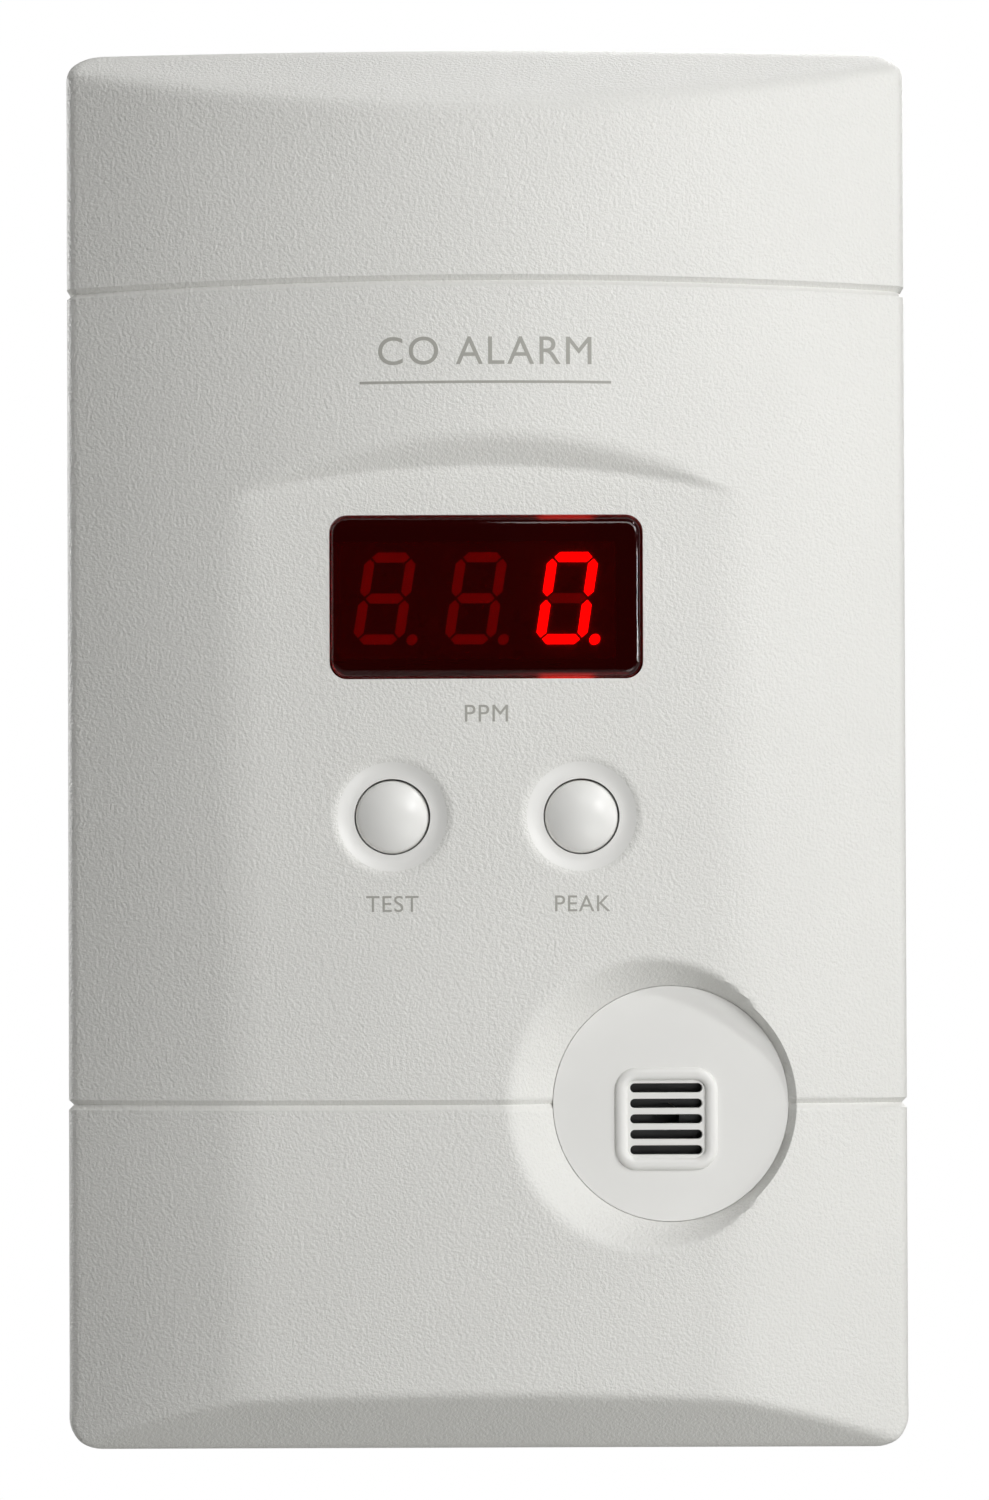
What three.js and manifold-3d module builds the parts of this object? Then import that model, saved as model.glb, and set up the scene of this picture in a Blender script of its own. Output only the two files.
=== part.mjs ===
// Plug-in carbon monoxide detector: a crowned front cover with a display window, two buttons and a
// round sound recess, a rear cover with a pull-out plug adapter and a hinged battery door.
// Millimetres. +X right, +Z up, the front faces -Y. The origin is the centre of the wall face.
// "Depth" is the distance in front of the wall face, so a point at depth t has y = -t.
import * as THREE from 'three';
import { mergeVertices } from 'three/addons/utils/BufferGeometryUtils.js';
import Module from 'manifold-3d';

const wasm = await Module();
wasm.setup();

// ---- driving dimensions ----------------------------------------------------------------------
const WIDTH = 91.6;
const HEIGHT = 153.6;
const SPLIT = 16; // depth of the line between the rear and front covers
const RIM = 32; // depth of the front cover's long edges
const CROWN = 8.2; // rise of the crowned front over its long edges
const CORNER = 3.2; // corner radius seen from the front
const TOP_BOW = 0.6; // rise of the top edge between its corners
const BOTTOM_BOW = 0.15;
const EDGE = 1.2; // rounding between side wall and crown
const WALL = 2.2;
const GAP = 0.3; // clearance between neighbouring pieces

const FACET = 6.05; // rise of the front facet over the rim
const FACET_FALL = 0.7; // how far the facet falls away at its sides
const FACET_HALF = 27.5;
const BROW_Z = 29.6; // apex of the brow's lower edge
const BROW_END_DROP = 2.1;
const BROW_SLOPE = 1.44; // brow wall: height gained per depth
const BOTTOM_BEVEL = { edge: 0.27, slope: 1 };
const TOP_BEVEL = { edge: 2.4, slope: 0.72 };
const GROOVES = { heights: [49.3, -39.25], width: 0.9, depth: 0.45 };

const LENS = {
  x: 0, z: 15.46, width: 33.4, height: 17.27, corner: 1.7, front: 38.25, thickness: 3, rounding: 0.7,
  flange: 1.5, flangeBack: 34.15, flangeFront: 35.35,
};
const DISPLAY = { x: -1, z: 15.3, width: 30.1, height: 12.8, front: 33.9, back: 25.9 };
const BUTTON = {
  x: 10.2, z: -8.2, radius: 4, rise: 1.1, hole: 4.2, dish: 6.325, dishDepth: 0.9, front: 38.2,
  flange: 5.2, flangeFront: 35.4, flangeBack: 34.4, stem: 2, stemBack: 28.6,
};
const SWITCH = { half: 3, front: 27.4, bore: 2, boreBack: 25.5 };
const PLUNGER = { radius: 1.7, back: 26.7, front: 28.3 };
const RECESS = { x: 19.8, z: -39.25, radius: 12.8, floor: 35, cupWall: 1.8 };
const RECESS_RIM = { x: 17.95, z: -39.27, halfWidth: 14.95, halfHeight: 15.57, depth: 37.7 };
const GRILLE = { gap: 0.2, thickness: 1.6, skirt: 1.9, flange: 1.6, back: 3.1, seat: 1.2 };
const SOUNDER = { x: 19.3, z: -40.7, radius: 14, nose: 6, wall: 1.2, port: 1.5, back: 24.4, front: 30.9 };
const SOUND_BLOCK = { x: 19.3, z: -40.9, size: 8.4, slots: 5 };

const PCB = { halfWidth: 41.5, top: 64, bottom: -64, back: 22.2, front: 23.8 };
const ADAPTER = { halfWidth: 21.7, bottom: 10, top: 62, front: 19.3, wall: 1.6 };
const BLADE = { spacing: 12.7, width: 6.35, thickness: 1.5, length: 16.5, z: 36, hole: 1.6 };
const BAY_DEPTH = 19.9;
const BAY_WALL = 1.5;
const BATTERY = { z: -55, height: 26.3, back: 2.4, front: 19.6, left: -26.2, right: 19.3 };
const DOOR = { halfWidth: 28.6, bottom: -70.7, back: 0.2, front: 2 };
const HINGE = { z: -39.9, depth: 1.5, barrel: 1.2, bore: 0.7, pin: 0.62 };
const DOOR_BAY = { halfWidth: 28.9, bottom: -71, top: -38 };
const CASE_SCREW = {
  x: 39.8, z: 70.2, boss: 4.2, head: 3.1, shank: 1.45, headBack: 7.4, headHeight: 2.3, tip: 26,
};
const PCB_SCREW = { x: 37, z: 5, post: 3, head: 2.6, shank: 1.2, headBack: 20.2, headHeight: 1.7, tip: 29 };
const SCREW_CROSS = { half: 1.4, halfWidth: 0.3, depth: 0.9 };
const KEYHOLE = { x: 33.5, z: 46, radius: 4.2, slot: 2.2, rise: 8 };
const SENSOR = { x: -21, z: -42, radius: 10, front: 31.6, capBack: 31.9, capFront: 33.9, port: 1.2 };
const SIDE_SLOTS = { count: 7, pitch: 4.2, width: 2, z: -38.1, near: 5, far: 12 };
const EDGE_SLOTS = { count: 9, pitch: 5, width: 2, near: 5, far: 12 };
const PLATE = { halfWidth: 22, bottom: -34, top: -8, back: 0.1, front: 0.45, seat: 0.5 };
const FINGER_GRIP = { radius: 5, depth: 0.9 };
const GLAND = { z: 16, depth: 12, hole: 2.6, sleeve: 2.3, collar: 3.6, bore: 1.3 };
const LEAD_HOLE = { near: 9, far: 15, bottom: -58, top: -50 };
const CHIP = { left: -31, right: -19, bottom: -22, top: -10, front: 26.2 };
const CAPACITORS = [{ x: 28, z: 52, radius: 4, height: 10 }, { x: 16, z: 54, radius: 3.2, height: 8 }];
const PIEZO = { radius: 12, back: 27.6, middle: 27.9, ceramic: 8.6, front: 28.2 };

// ---- making and cutting solids ---------------------------------------------------------------
function solid(geometry) {
  const bare = geometry.index ? geometry.toNonIndexed() : geometry.clone();
  bare.deleteAttribute('normal');
  bare.deleteAttribute('uv');
  const merged = mergeVertices(bare, 1e-5);
  const triVerts = Uint32Array.from(merged.index.array);
  const vertProperties = Float32Array.from(merged.attributes.position.array);
  if (signedVolume(vertProperties, triVerts) < 0) triVerts.reverse();
  return new wasm.Manifold(new wasm.Mesh({ numProp: 3, vertProperties, triVerts }));
}

function signedVolume(points, triangles) {
  const corner = (i) => new THREE.Vector3().fromArray(points, 3 * triangles[i]);
  let volume = 0;
  for (let i = 0; i < triangles.length; i += 3) {
    volume += corner(i).dot(corner(i + 1).cross(corner(i + 2)));
  }
  return volume;
}

function geometryOf(manifold) {
  const mesh = manifold.getMesh();
  const geometry = new THREE.BufferGeometry();
  geometry.setAttribute('position', new THREE.BufferAttribute(mesh.vertProperties, 3));
  geometry.setIndex(new THREE.BufferAttribute(mesh.triVerts, 1));
  geometry.computeVertexNormals();
  return geometry;
}

// A shape drawn in the front view (x right, z up), solid between two depths.
function frontPrism(shape, near, far, curveSegments = 6) {
  const settings = { depth: far - near, bevelEnabled: false, curveSegments };
  const geometry = new THREE.ExtrudeGeometry(shape, settings);
  return solid(geometry.rotateX(Math.PI / 2).translate(0, -near, 0));
}

// A shape drawn in plan (x, y), solid between two heights.
function planPrism(shape, bottom, top) {
  const geometry = new THREE.ExtrudeGeometry(shape, { depth: top - bottom, bevelEnabled: false });
  return solid(geometry.translate(0, 0, bottom));
}

// A shape drawn in the side view (y, z), solid over the whole width.
function sidePrism(shape, halfWidth = WIDTH) {
  const geometry = new THREE.ExtrudeGeometry(shape, { depth: 2 * halfWidth, bevelEnabled: false });
  const basis = new THREE.Matrix4().makeBasis(
    new THREE.Vector3(0, 1, 0), new THREE.Vector3(0, 0, 1), new THREE.Vector3(1, 0, 0));
  return solid(geometry.applyMatrix4(basis).translate(-halfWidth, 0, 0));
}

function box(left, right, near, far, bottom, top) {
  const geometry = new THREE.BoxGeometry(right - left, far - near, top - bottom);
  return solid(geometry.translate((left + right) / 2, -(near + far) / 2, (bottom + top) / 2));
}

// A rod square to the wall.
function rod(x, z, radius, near, far, sides = 24) {
  const geometry = new THREE.CylinderGeometry(radius, radius, far - near, sides);
  return solid(geometry.translate(x, -(near + far) / 2, z));
}

// A rod from left to right.
function crossRod(left, right, depth, z, radius, sides = 16) {
  const geometry = new THREE.CylinderGeometry(radius, radius, right - left, sides);
  return solid(geometry.rotateZ(Math.PI / 2).translate((left + right) / 2, -depth, z));
}

// A turned piece square to the wall. The profile is [radius, depth] pairs that close on the axis.
function turned(x, z, profile, sides = 32) {
  const points = profile.map(([radius, depth]) => new THREE.Vector2(radius, -depth));
  return solid(new THREE.LatheGeometry(points, sides).translate(x, 0, z));
}

function roundedRectangle(x, z, width, height, corner) {
  const [left, right, bottom, top] = [x - width / 2, x + width / 2, z - height / 2, z + height / 2];
  const shape = new THREE.Shape();
  shape.moveTo(left + corner, bottom);
  shape.lineTo(right - corner, bottom);
  shape.absarc(right - corner, bottom + corner, corner, -Math.PI / 2, 0);
  shape.lineTo(right, top - corner);
  shape.absarc(right - corner, top - corner, corner, 0, Math.PI / 2);
  shape.lineTo(left + corner, top);
  shape.absarc(left + corner, top - corner, corner, Math.PI / 2, Math.PI);
  shape.lineTo(left, bottom + corner);
  shape.absarc(left + corner, bottom + corner, corner, Math.PI, 1.5 * Math.PI);
  return shape;
}

const model = new THREE.Group();

function add(name, manifold, [color, roughness, metalness]) {
  const material = new THREE.MeshStandardMaterial({ color, roughness, metalness });
  const mesh = new THREE.Mesh(geometryOf(manifold), material);
  mesh.name = name;
  model.add(mesh);
}

const COVER_PLASTIC = ['#efece4', 0.6, 0];
const SMOOTH_PLASTIC = ['#f1eee7', 0.35, 0];
const BLACK_PLASTIC = ['#1a1a1b', 0.5, 0];
const STEEL = ['#b9bcc0', 0.35, 1];
const BRASS = ['#c9a75a', 0.35, 1];

// ---- the outline and front shape, also used inset for the hollow behind them -------------------
function faceOutline(inset) {
  const [halfWidth, halfHeight] = [WIDTH / 2 - inset, HEIGHT / 2 - inset];
  const corner = Math.max(CORNER - inset, 0.8);
  const shape = new THREE.Shape();
  const [bottom, top] = [BOTTOM_BOW - halfHeight, halfHeight - TOP_BOW];
  shape.moveTo(corner - halfWidth, bottom);
  shape.quadraticCurveTo(0, bottom - 2 * BOTTOM_BOW, halfWidth - corner, bottom);
  shape.absarc(halfWidth - corner, bottom + corner, corner, -Math.PI / 2, 0);
  shape.lineTo(halfWidth, top - corner);
  shape.absarc(halfWidth - corner, top - corner, corner, 0, Math.PI / 2);
  shape.quadraticCurveTo(0, top + 2 * TOP_BOW, corner - halfWidth, top);
  shape.absarc(corner - halfWidth, top - corner, corner, Math.PI / 2, Math.PI);
  shape.lineTo(-halfWidth, bottom + corner);
  shape.absarc(corner - halfWidth, bottom + corner, corner, Math.PI, 1.5 * Math.PI);
  return shape;
}

const crownDepth = (x) => RIM + CROWN * (1 - (2 * x / WIDTH) ** 2);
const facetDepth = (x) => RIM + FACET - FACET_FALL * (x / FACET_HALF) ** 2;

function depthCurve(depthAt, from, to, steps) {
  const points = [];
  for (let i = 0; i <= steps; i += 1) {
    const x = from + (to - from) * i / steps;
    points.push(new THREE.Vector2(x, -depthAt(x)));
  }
  return points;
}

function crownPrism(inset) {
  const side = WIDTH / 2 - inset;
  const depthAt = (x) => crownDepth(x) - inset;
  const edge = new THREE.QuadraticBezierCurve(
    new THREE.Vector2(side, EDGE - depthAt(side)),
    new THREE.Vector2(side, -depthAt(side)),
    new THREE.Vector2(side - EDGE, -depthAt(side - EDGE))).getPoints(3);
  const mirrored = edge.map((point) => new THREE.Vector2(-point.x, point.y)).reverse();
  const crown = depthCurve(depthAt, side - EDGE, EDGE - side, 16).slice(1, -1);
  const behindWall = 5;
  const [first, last] = [new THREE.Vector2(side, behindWall), new THREE.Vector2(-side, behindWall)];
  const outline = [first, ...edge, ...crown, ...mirrored, last];
  return planPrism(new THREE.Shape(outline), -HEIGHT, HEIGHT);
}

// The corner cut away by a bevel along the top (sign 1) or bottom (sign -1) edge.
function bevelCut({ edge, slope }, sign, inset) {
  const [behind, ahead] = [12, 16];
  const start = HEIGHT / 2 - edge - inset * Math.hypot(1, slope);
  const [low, high] = [start - slope * ahead, start + slope * behind];
  return sidePrism(new THREE.Shape([
    new THREE.Vector2(behind - RIM, sign * high),
    new THREE.Vector2(-RIM - ahead, sign * low),
    new THREE.Vector2(-RIM - ahead, sign * high),
  ]));
}

// What is cut away in front of the facet and under the brow.
function facetCut(inset) {
  const reach = 34;
  const front = 2 * RIM;
  const surface = depthCurve((x) => facetDepth(x) - inset, -reach, reach, 10);
  const ahead = [new THREE.Vector2(reach, -front), new THREE.Vector2(-reach, -front)];
  const before = planPrism(new THREE.Shape([...surface, ...ahead]), -HEIGHT, HEIGHT / 2);
  const arcRadius = (FACET_HALF ** 2 + BROW_END_DROP ** 2) / (2 * BROW_END_DROP);
  const swing = Math.asin((reach + 5) / arcRadius);
  const arch = new THREE.Shape();
  arch.moveTo(-reach - 5, -HEIGHT);
  arch.lineTo(reach + 5, -HEIGHT);
  arch.absarc(0, BROW_Z - arcRadius, arcRadius, Math.PI / 2 - swing, Math.PI / 2 + swing);
  const rise = inset * Math.hypot(1, BROW_SLOPE) - BROW_SLOPE * (RIM + FACET);
  const lean = new THREE.Matrix4().set(1, 0, 0, 0, 0, 1, 0, 0, 0, -BROW_SLOPE, 1, rise, 0, 0, 0, 1);
  const geometry = new THREE.ExtrudeGeometry(arch, { depth: front, bevelEnabled: false, curveSegments: 12 });
  return before.intersect(solid(geometry.rotateX(Math.PI / 2).applyMatrix4(lean)));
}

function frontBlock(inset, back) {
  return frontPrism(faceOutline(inset), back, 2 * RIM)
    .intersect(crownPrism(inset))
    .subtract(bevelCut(TOP_BEVEL, 1, inset))
    .subtract(bevelCut(BOTTOM_BEVEL, -1, inset))
    .subtract(facetCut(inset));
}

// The leaning funnel of the recess, from its floor to beyond its rim.
function recessFunnel(margin, floor) {
  const geometry = new THREE.CylinderGeometry(1, 1, 1, 36);
  const position = geometry.attributes.position;
  const beyond = 2; // how many floor-to-rim heights the funnel is carried on
  for (let i = 0; i < position.count; i += 1) {
    const rise = RECESS_RIM.depth - RECESS.floor;
    const level = position.getY(i) < 0 ? beyond : (floor - RECESS.floor) / rise;
    const depth = RECESS.floor + level * rise;
    const halfWidth = THREE.MathUtils.lerp(RECESS.radius, RECESS_RIM.halfWidth, level) + margin;
    const halfHeight = THREE.MathUtils.lerp(RECESS.radius, RECESS_RIM.halfHeight, level) + margin;
    const x = THREE.MathUtils.lerp(RECESS.x, RECESS_RIM.x, level) + position.getX(i) * halfWidth;
    const z = THREE.MathUtils.lerp(RECESS.z, RECESS_RIM.z, level) + position.getZ(i) * halfHeight;
    position.setXYZ(i, x, -depth, z);
  }
  return solid(geometry);
}

function grooveCut() {
  const { heights, width, depth } = GROOVES;
  const core = frontPrism(faceOutline(depth), 0, 2 * RIM).intersect(crownPrism(depth));
  const slabs = heights.map((z) => box(-WIDTH, WIDTH, SPLIT - 1, 2 * RIM, z - width / 2, z + width / 2));
  return slabs[0].add(slabs[1]).subtract(core);
}

function buttonDish(x) {
  const { z, dish, dishDepth } = BUTTON;
  const radius = (dish ** 2 + dishDepth ** 2) / (2 * dishDepth);
  const [surface, above, steps] = [facetDepth(x), 3, 4];
  const profile = [[0, surface - dishDepth]];
  for (let i = 1; i <= steps; i += 1) {
    const r = dish * i / steps;
    profile.push([r, surface - dishDepth + radius - Math.sqrt(radius ** 2 - r ** 2)]);
  }
  profile.push([dish, surface + above], [0, surface + above]);
  return turned(x, z, profile, 24);
}

const caseScrewPlaces = [[-1, 1], [1, 1], [-1, -1], [1, -1]]
  .map(([i, j]) => [i * CASE_SCREW.x, j * CASE_SCREW.z]);
const pcbScrewPlaces = [-PCB_SCREW.x, PCB_SCREW.x].map((x) => [x, PCB_SCREW.z]);
const TONGUE = { outer: 1.15, inner: 2.3, depth: 2.4 };
const THREAD_GAP = 0.2;

function frontCover() {
  const outside = frontBlock(0, SPLIT + GAP / 2);
  let cover = outside.subtract(frontBlock(WALL, SPLIT - 1));
  const cupBack = RECESS.floor - GRILLE.thickness;
  cover = cover.add(recessFunnel(RECESS.cupWall, cupBack).intersect(outside));
  for (const [x, z] of caseScrewPlaces) {
    cover = cover.add(rod(x, z, CASE_SCREW.boss, SPLIT + GAP / 2, 2 * RIM, 14).intersect(outside));
    cover = cover.subtract(rod(x, z, CASE_SCREW.shank + THREAD_GAP, SPLIT - 1, CASE_SCREW.tip + 2, 12));
  }
  for (const [x, z] of pcbScrewPlaces) {
    cover = cover.add(rod(x, z, PCB_SCREW.post, PCB.front + GAP, 2 * RIM, 14).intersect(outside));
    cover = cover.subtract(rod(x, z, PCB_SCREW.shank + THREAD_GAP, PCB.front, PCB_SCREW.tip + 0.5, 12));
  }
  const rabbet = frontPrism(faceOutline(TONGUE.outer - GAP), SPLIT - 1, SPLIT + TONGUE.depth + GAP)
    .subtract(frontPrism(faceOutline(TONGUE.inner + GAP), SPLIT - 2, SPLIT + TONGUE.depth + 2));
  const around = 0.2;
  const lensHole = roundedRectangle(LENS.x, LENS.z, LENS.width + 2 * around, LENS.height + 2 * around,
    LENS.corner + around);
  cover = cover.subtract(rabbet)
    .subtract(recessFunnel(0, RECESS.floor))
    .subtract(rod(RECESS.x, RECESS.z, RECESS.radius, cupBack - 1, RECESS.floor + 1, 36))
    .subtract(grooveCut())
    .subtract(frontPrism(lensHole, RIM, 2 * RIM, 4));
  for (const x of [-BUTTON.x, BUTTON.x]) {
    cover = cover.subtract(buttonDish(x)).subtract(rod(x, BUTTON.z, BUTTON.hole, RIM, 2 * RIM, 24));
  }
  return cover;
}

// ---- rear cover -------------------------------------------------------------------------------
function slotRow(count, pitch, slotAt) {
  let cut = null;
  for (let i = 0; i < count; i += 1) {
    const slot = slotAt((i - (count - 1) / 2) * pitch);
    cut = cut ? cut.add(slot) : slot;
  }
  return cut;
}

function keyhole(x) {
  const { z, radius, slot, rise } = KEYHOLE;
  return rod(x, z, radius, -1, WALL + 1, 20)
    .add(box(x - slot, x + slot, -1, WALL + 1, z, z + rise))
    .add(rod(x, z + rise, slot, -1, WALL + 1, 12));
}

// The rear block, with its back edge chamfered.
function rearBlock(front) {
  const chamfer = 1;
  const geometry = new THREE.ExtrudeGeometry(faceOutline(chamfer), {
    depth: RIM, bevelEnabled: true, bevelThickness: chamfer, bevelSize: chamfer, bevelSegments: 1,
    curveSegments: 6,
  });
  return solid(geometry.rotateX(Math.PI / 2).translate(0, -chamfer, 0))
    .intersect(box(-WIDTH, WIDTH, -1, front, -HEIGHT, HEIGHT));
}

function rearCover() {
  const front = SPLIT - GAP / 2;
  let cover = rearBlock(front).subtract(frontPrism(faceOutline(WALL), WALL, SPLIT + 1));
  const tongue = frontPrism(faceOutline(TONGUE.outer), SPLIT - 3, SPLIT + TONGUE.depth)
    .subtract(frontPrism(faceOutline(TONGUE.inner), SPLIT - 4, SPLIT + TONGUE.depth + 1));
  cover = cover.add(tongue);

  const { halfWidth, bottom, top } = ADAPTER;
  const [bayHalf, bayBottom, bayTop] = [halfWidth + GAP, bottom - GAP, top + GAP];
  const bay = DOOR_BAY;
  const skin = BAY_WALL;
  const skinFront = BAY_DEPTH + skin;
  cover = cover
    .add(box(-bayHalf - skin, bayHalf + skin, 1, skinFront, bayBottom - skin, bayTop + skin))
    .add(box(-bay.halfWidth - skin, bay.halfWidth + skin, 1, skinFront, bay.bottom - skin, bay.top + skin))
    .subtract(box(-bayHalf, bayHalf, -1, BAY_DEPTH, bayBottom, bayTop))
    .subtract(box(-bay.halfWidth, bay.halfWidth, -1, BAY_DEPTH, bay.bottom, bay.top));
  for (const [x, z] of caseScrewPlaces) {
    cover = cover.add(rod(x, z, CASE_SCREW.boss, 1, front, 14))
      .subtract(rod(x, z, CASE_SCREW.head + GAP, -1, CASE_SCREW.headBack + CASE_SCREW.headHeight + GAP, 16))
      .subtract(rod(x, z, CASE_SCREW.shank + GAP, 9, SPLIT + 1, 12));
  }
  const sideSlots = slotRow(SIDE_SLOTS.count, SIDE_SLOTS.pitch, (step) => {
    const z = SIDE_SLOTS.z + step;
    const half = SIDE_SLOTS.width / 2;
    return box(-WIDTH, WIDTH, SIDE_SLOTS.near, SIDE_SLOTS.far, z - half, z + half);
  }).subtract(box(-bay.halfWidth - 5, bay.halfWidth + 5, 0, RIM, -HEIGHT, HEIGHT));
  const edgeSlots = slotRow(EDGE_SLOTS.count, EDGE_SLOTS.pitch, (x) => box(x - EDGE_SLOTS.width / 2,
    x + EDGE_SLOTS.width / 2, EDGE_SLOTS.near, EDGE_SLOTS.far, -HEIGHT, HEIGHT))
    .subtract(box(-WIDTH, WIDTH, 0, RIM, 3 - HEIGHT / 2, HEIGHT / 2 - 3));
  const gripZ = (bottom + top) / 2;
  const grips = slotRow(2, 2 * bayHalf, (x) => rod(x, gripZ, FINGER_GRIP.radius, -1, FINGER_GRIP.depth, 16));
  const plateEdge = PLATE.halfWidth + GAP;
  const plateSeat = box(-plateEdge, plateEdge, -1, PLATE.seat, PLATE.bottom - GAP, PLATE.top + GAP);
  const pinHalf = bay.halfWidth + 1.2;
  return cover.subtract(sideSlots).subtract(edgeSlots).subtract(grips).subtract(plateSeat)
    .subtract(keyhole(-KEYHOLE.x)).subtract(keyhole(KEYHOLE.x))
    .subtract(crossRod(-pinHalf, pinHalf, HINGE.depth, HINGE.z, HINGE.bore, 12))
    .subtract(box(-6, 6, -1, 1.3, bay.bottom - 2.4, bay.bottom + 1))
    .subtract(crossRod(bayHalf - 1, bayHalf + skin + 1, GLAND.depth, GLAND.z, GLAND.hole, 16))
    .subtract(box(bay.halfWidth - 1, bay.halfWidth + skin + 1, LEAD_HOLE.near, LEAD_HOLE.far,
      LEAD_HOLE.bottom, LEAD_HOLE.top));
}

function ratingPlate() {
  return box(-PLATE.halfWidth, PLATE.halfWidth, PLATE.back, PLATE.front, PLATE.bottom, PLATE.top);
}

// ---- grille, lens, display ----------------------------------------------------------------------
function ventGrille() {
  const { x, z, floor, radius } = RECESS;
  const edge = radius - GRILLE.gap;
  const [skirt, back] = [floor - GRILLE.skirt, floor - GRILLE.back];
  const [outer, inner] = [edge + GRILLE.flange, edge - GRILLE.seat];
  const plateBack = floor - GRILLE.thickness;
  const grille = turned(x, z, [[0, floor], [edge, floor], [edge, skirt], [outer, skirt],
    [outer, back], [inner, back], [inner, plateBack], [0, plateBack]], 36);
  const { size, slots } = SOUND_BLOCK;
  const frame = (side, corner) => roundedRectangle(SOUND_BLOCK.x, SOUND_BLOCK.z, side, side, corner);
  const bead = frontPrism(frame(size + 2.7, 2.4), floor - 1, floor + 0.4, 4)
    .subtract(frontPrism(frame(size + 0.2, 1.2), floor, floor + 1, 4));
  const pitch = size / slots;
  const slot = (height) => roundedRectangle(SOUND_BLOCK.x, height, size - 0.6, 0.6 * pitch, 0.29 * pitch);
  const openings = slotRow(slots, pitch, (step) => frontPrism(
    slot(SOUND_BLOCK.z + step), floor - 3, floor + 2, 3));
  return grille.add(bead).subtract(openings);
}

function displayLens() {
  const { x, z, width, height, corner, front, thickness, rounding, flange } = LENS;
  const shape = roundedRectangle(x, z, width - 2 * rounding, height - 2 * rounding, corner - rounding);
  const geometry = new THREE.ExtrudeGeometry(shape, {
    depth: thickness - 2 * rounding, bevelEnabled: true, bevelThickness: rounding, bevelSize: rounding,
    bevelSegments: 2, curveSegments: 3,
  });
  const window = solid(geometry.rotateX(Math.PI / 2).translate(0, thickness - rounding - front, 0));
  const rim = roundedRectangle(x, z, width + 2 * flange, height + 2 * flange, corner);
  return window.add(frontPrism(rim, LENS.flangeBack, LENS.flangeFront, 4));
}

function displayModule() {
  const { x, z, width, height, front, back } = DISPLAY;
  return box(x - width / 2, x + width / 2, back, front, z - height / 2, z + height / 2);
}

function displayHolder() {
  const { x, z, width, height, back } = DISPLAY;
  const [halfWidth, halfHeight, wall] = [width / 2, height / 2 - 1, 2];
  const open = { halfWidth: halfWidth - wall - 1, halfHeight: halfHeight - wall };
  return box(x - halfWidth, x + halfWidth, PCB.front + 0.2, back - 0.2, z - halfHeight, z + halfHeight)
    .subtract(box(x - open.halfWidth, x + open.halfWidth, PCB.back, DISPLAY.front,
      z - open.halfHeight, z + open.halfHeight));
}

// ---- buttons and switches -----------------------------------------------------------------------
function buttonCap(x) {
  const { z, radius, rise, front, flange, flangeFront, flangeBack, stem, stemBack } = BUTTON;
  const [steps, edge] = [3, 0.3];
  const dome = [];
  const sphere = (radius ** 2 + rise ** 2) / (2 * rise);
  for (let i = 0; i <= steps; i += 1) {
    const r = (radius - edge) * i / steps;
    dome.push([r, front - sphere + Math.sqrt(sphere ** 2 - r ** 2)]);
  }
  return turned(x, z, [...dome, [radius, front - rise - edge], [radius, flangeFront], [flange, flangeFront],
    [flange, flangeBack], [stem, flangeBack], [stem, stemBack], [0, stemBack]], 24);
}

const switchPlunger = (x) => rod(x, BUTTON.z, PLUNGER.radius, PLUNGER.back, PLUNGER.front, 16);

function switchBody(x) {
  const { half, front, bore, boreBack } = SWITCH;
  return box(x - half, x + half, PCB.front + 0.2, front, BUTTON.z - half, BUTTON.z + half)
    .subtract(rod(x, BUTTON.z, bore, boreBack, front + 1, 16));
}

// ---- sounder and gas sensor -----------------------------------------------------------------------
function sounderBody() {
  const { x, z, radius, nose, wall, port, back, front } = SOUNDER;
  return turned(x, z, [[port, front + 2], [nose, front + 2], [nose, front], [radius, front], [radius, back],
    [radius - wall, back], [radius - wall, front - wall], [port, front - wall], [port, front + 2]], 24);
}

function sounderCap() {
  const { x, z, radius, wall, back } = SOUNDER;
  const edge = radius - wall - GAP;
  return turned(x, z, [[0, back], [edge, back], [edge, back + wall], [0, back + wall]], 24);
}

function piezoDisc() {
  const { x, z } = SOUNDER;
  const { radius, back, middle, ceramic, front } = PIEZO;
  return turned(x, z, [[0, back], [radius, back], [radius, middle], [ceramic, middle], [ceramic, front],
    [0, front]], 24);
}

function sounderGasket() {
  const { x, z, front, nose } = SOUNDER;
  const [inner, outer, near, far] = [nose + 0.6, nose + 3.6, front + 0.2, front + 2.2];
  return turned(x, z, [[inner, near], [outer, near], [outer, far], [inner, far], [inner, near]], 24);
}

function sensorCan() {
  const { x, z, radius, front } = SENSOR;
  const [back, edge] = [PCB.front + 0.3, 0.6];
  return turned(x, z, [[0, back], [radius, back], [radius, front - edge], [radius - 1, front], [0, front]], 24);
}

function sensorCap() {
  const { x, z, radius, port, capBack, capFront } = SENSOR;
  const [outer, edge] = [radius - 2, 0.6];
  return turned(x, z, [[port, capBack], [outer, capBack], [outer, capFront - edge], [outer - edge, capFront],
    [port, capFront], [port, capBack]], 24);
}

// ---- circuit board --------------------------------------------------------------------------------
function mainPcb() {
  const { halfWidth, top, bottom, back, front } = PCB;
  let board = box(-halfWidth, halfWidth, back, front, bottom, top);
  for (const [x, z] of pcbScrewPlaces) {
    board = board.subtract(rod(x, z, PCB_SCREW.shank + GAP, back - 1, front + 1, 12));
  }
  return board;
}

const microcontroller = () => box(CHIP.left, CHIP.right, PCB.front + 0.2, CHIP.front, CHIP.bottom, CHIP.top);

function capacitor({ x, z, radius, height }) {
  const [back, front, edge] = [PCB.front + 0.2, PCB.front + height, 0.6];
  return turned(x, z, [[0, back], [radius, back], [radius, front - edge], [radius - edge, front],
    [0, front]], 24);
}

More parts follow.
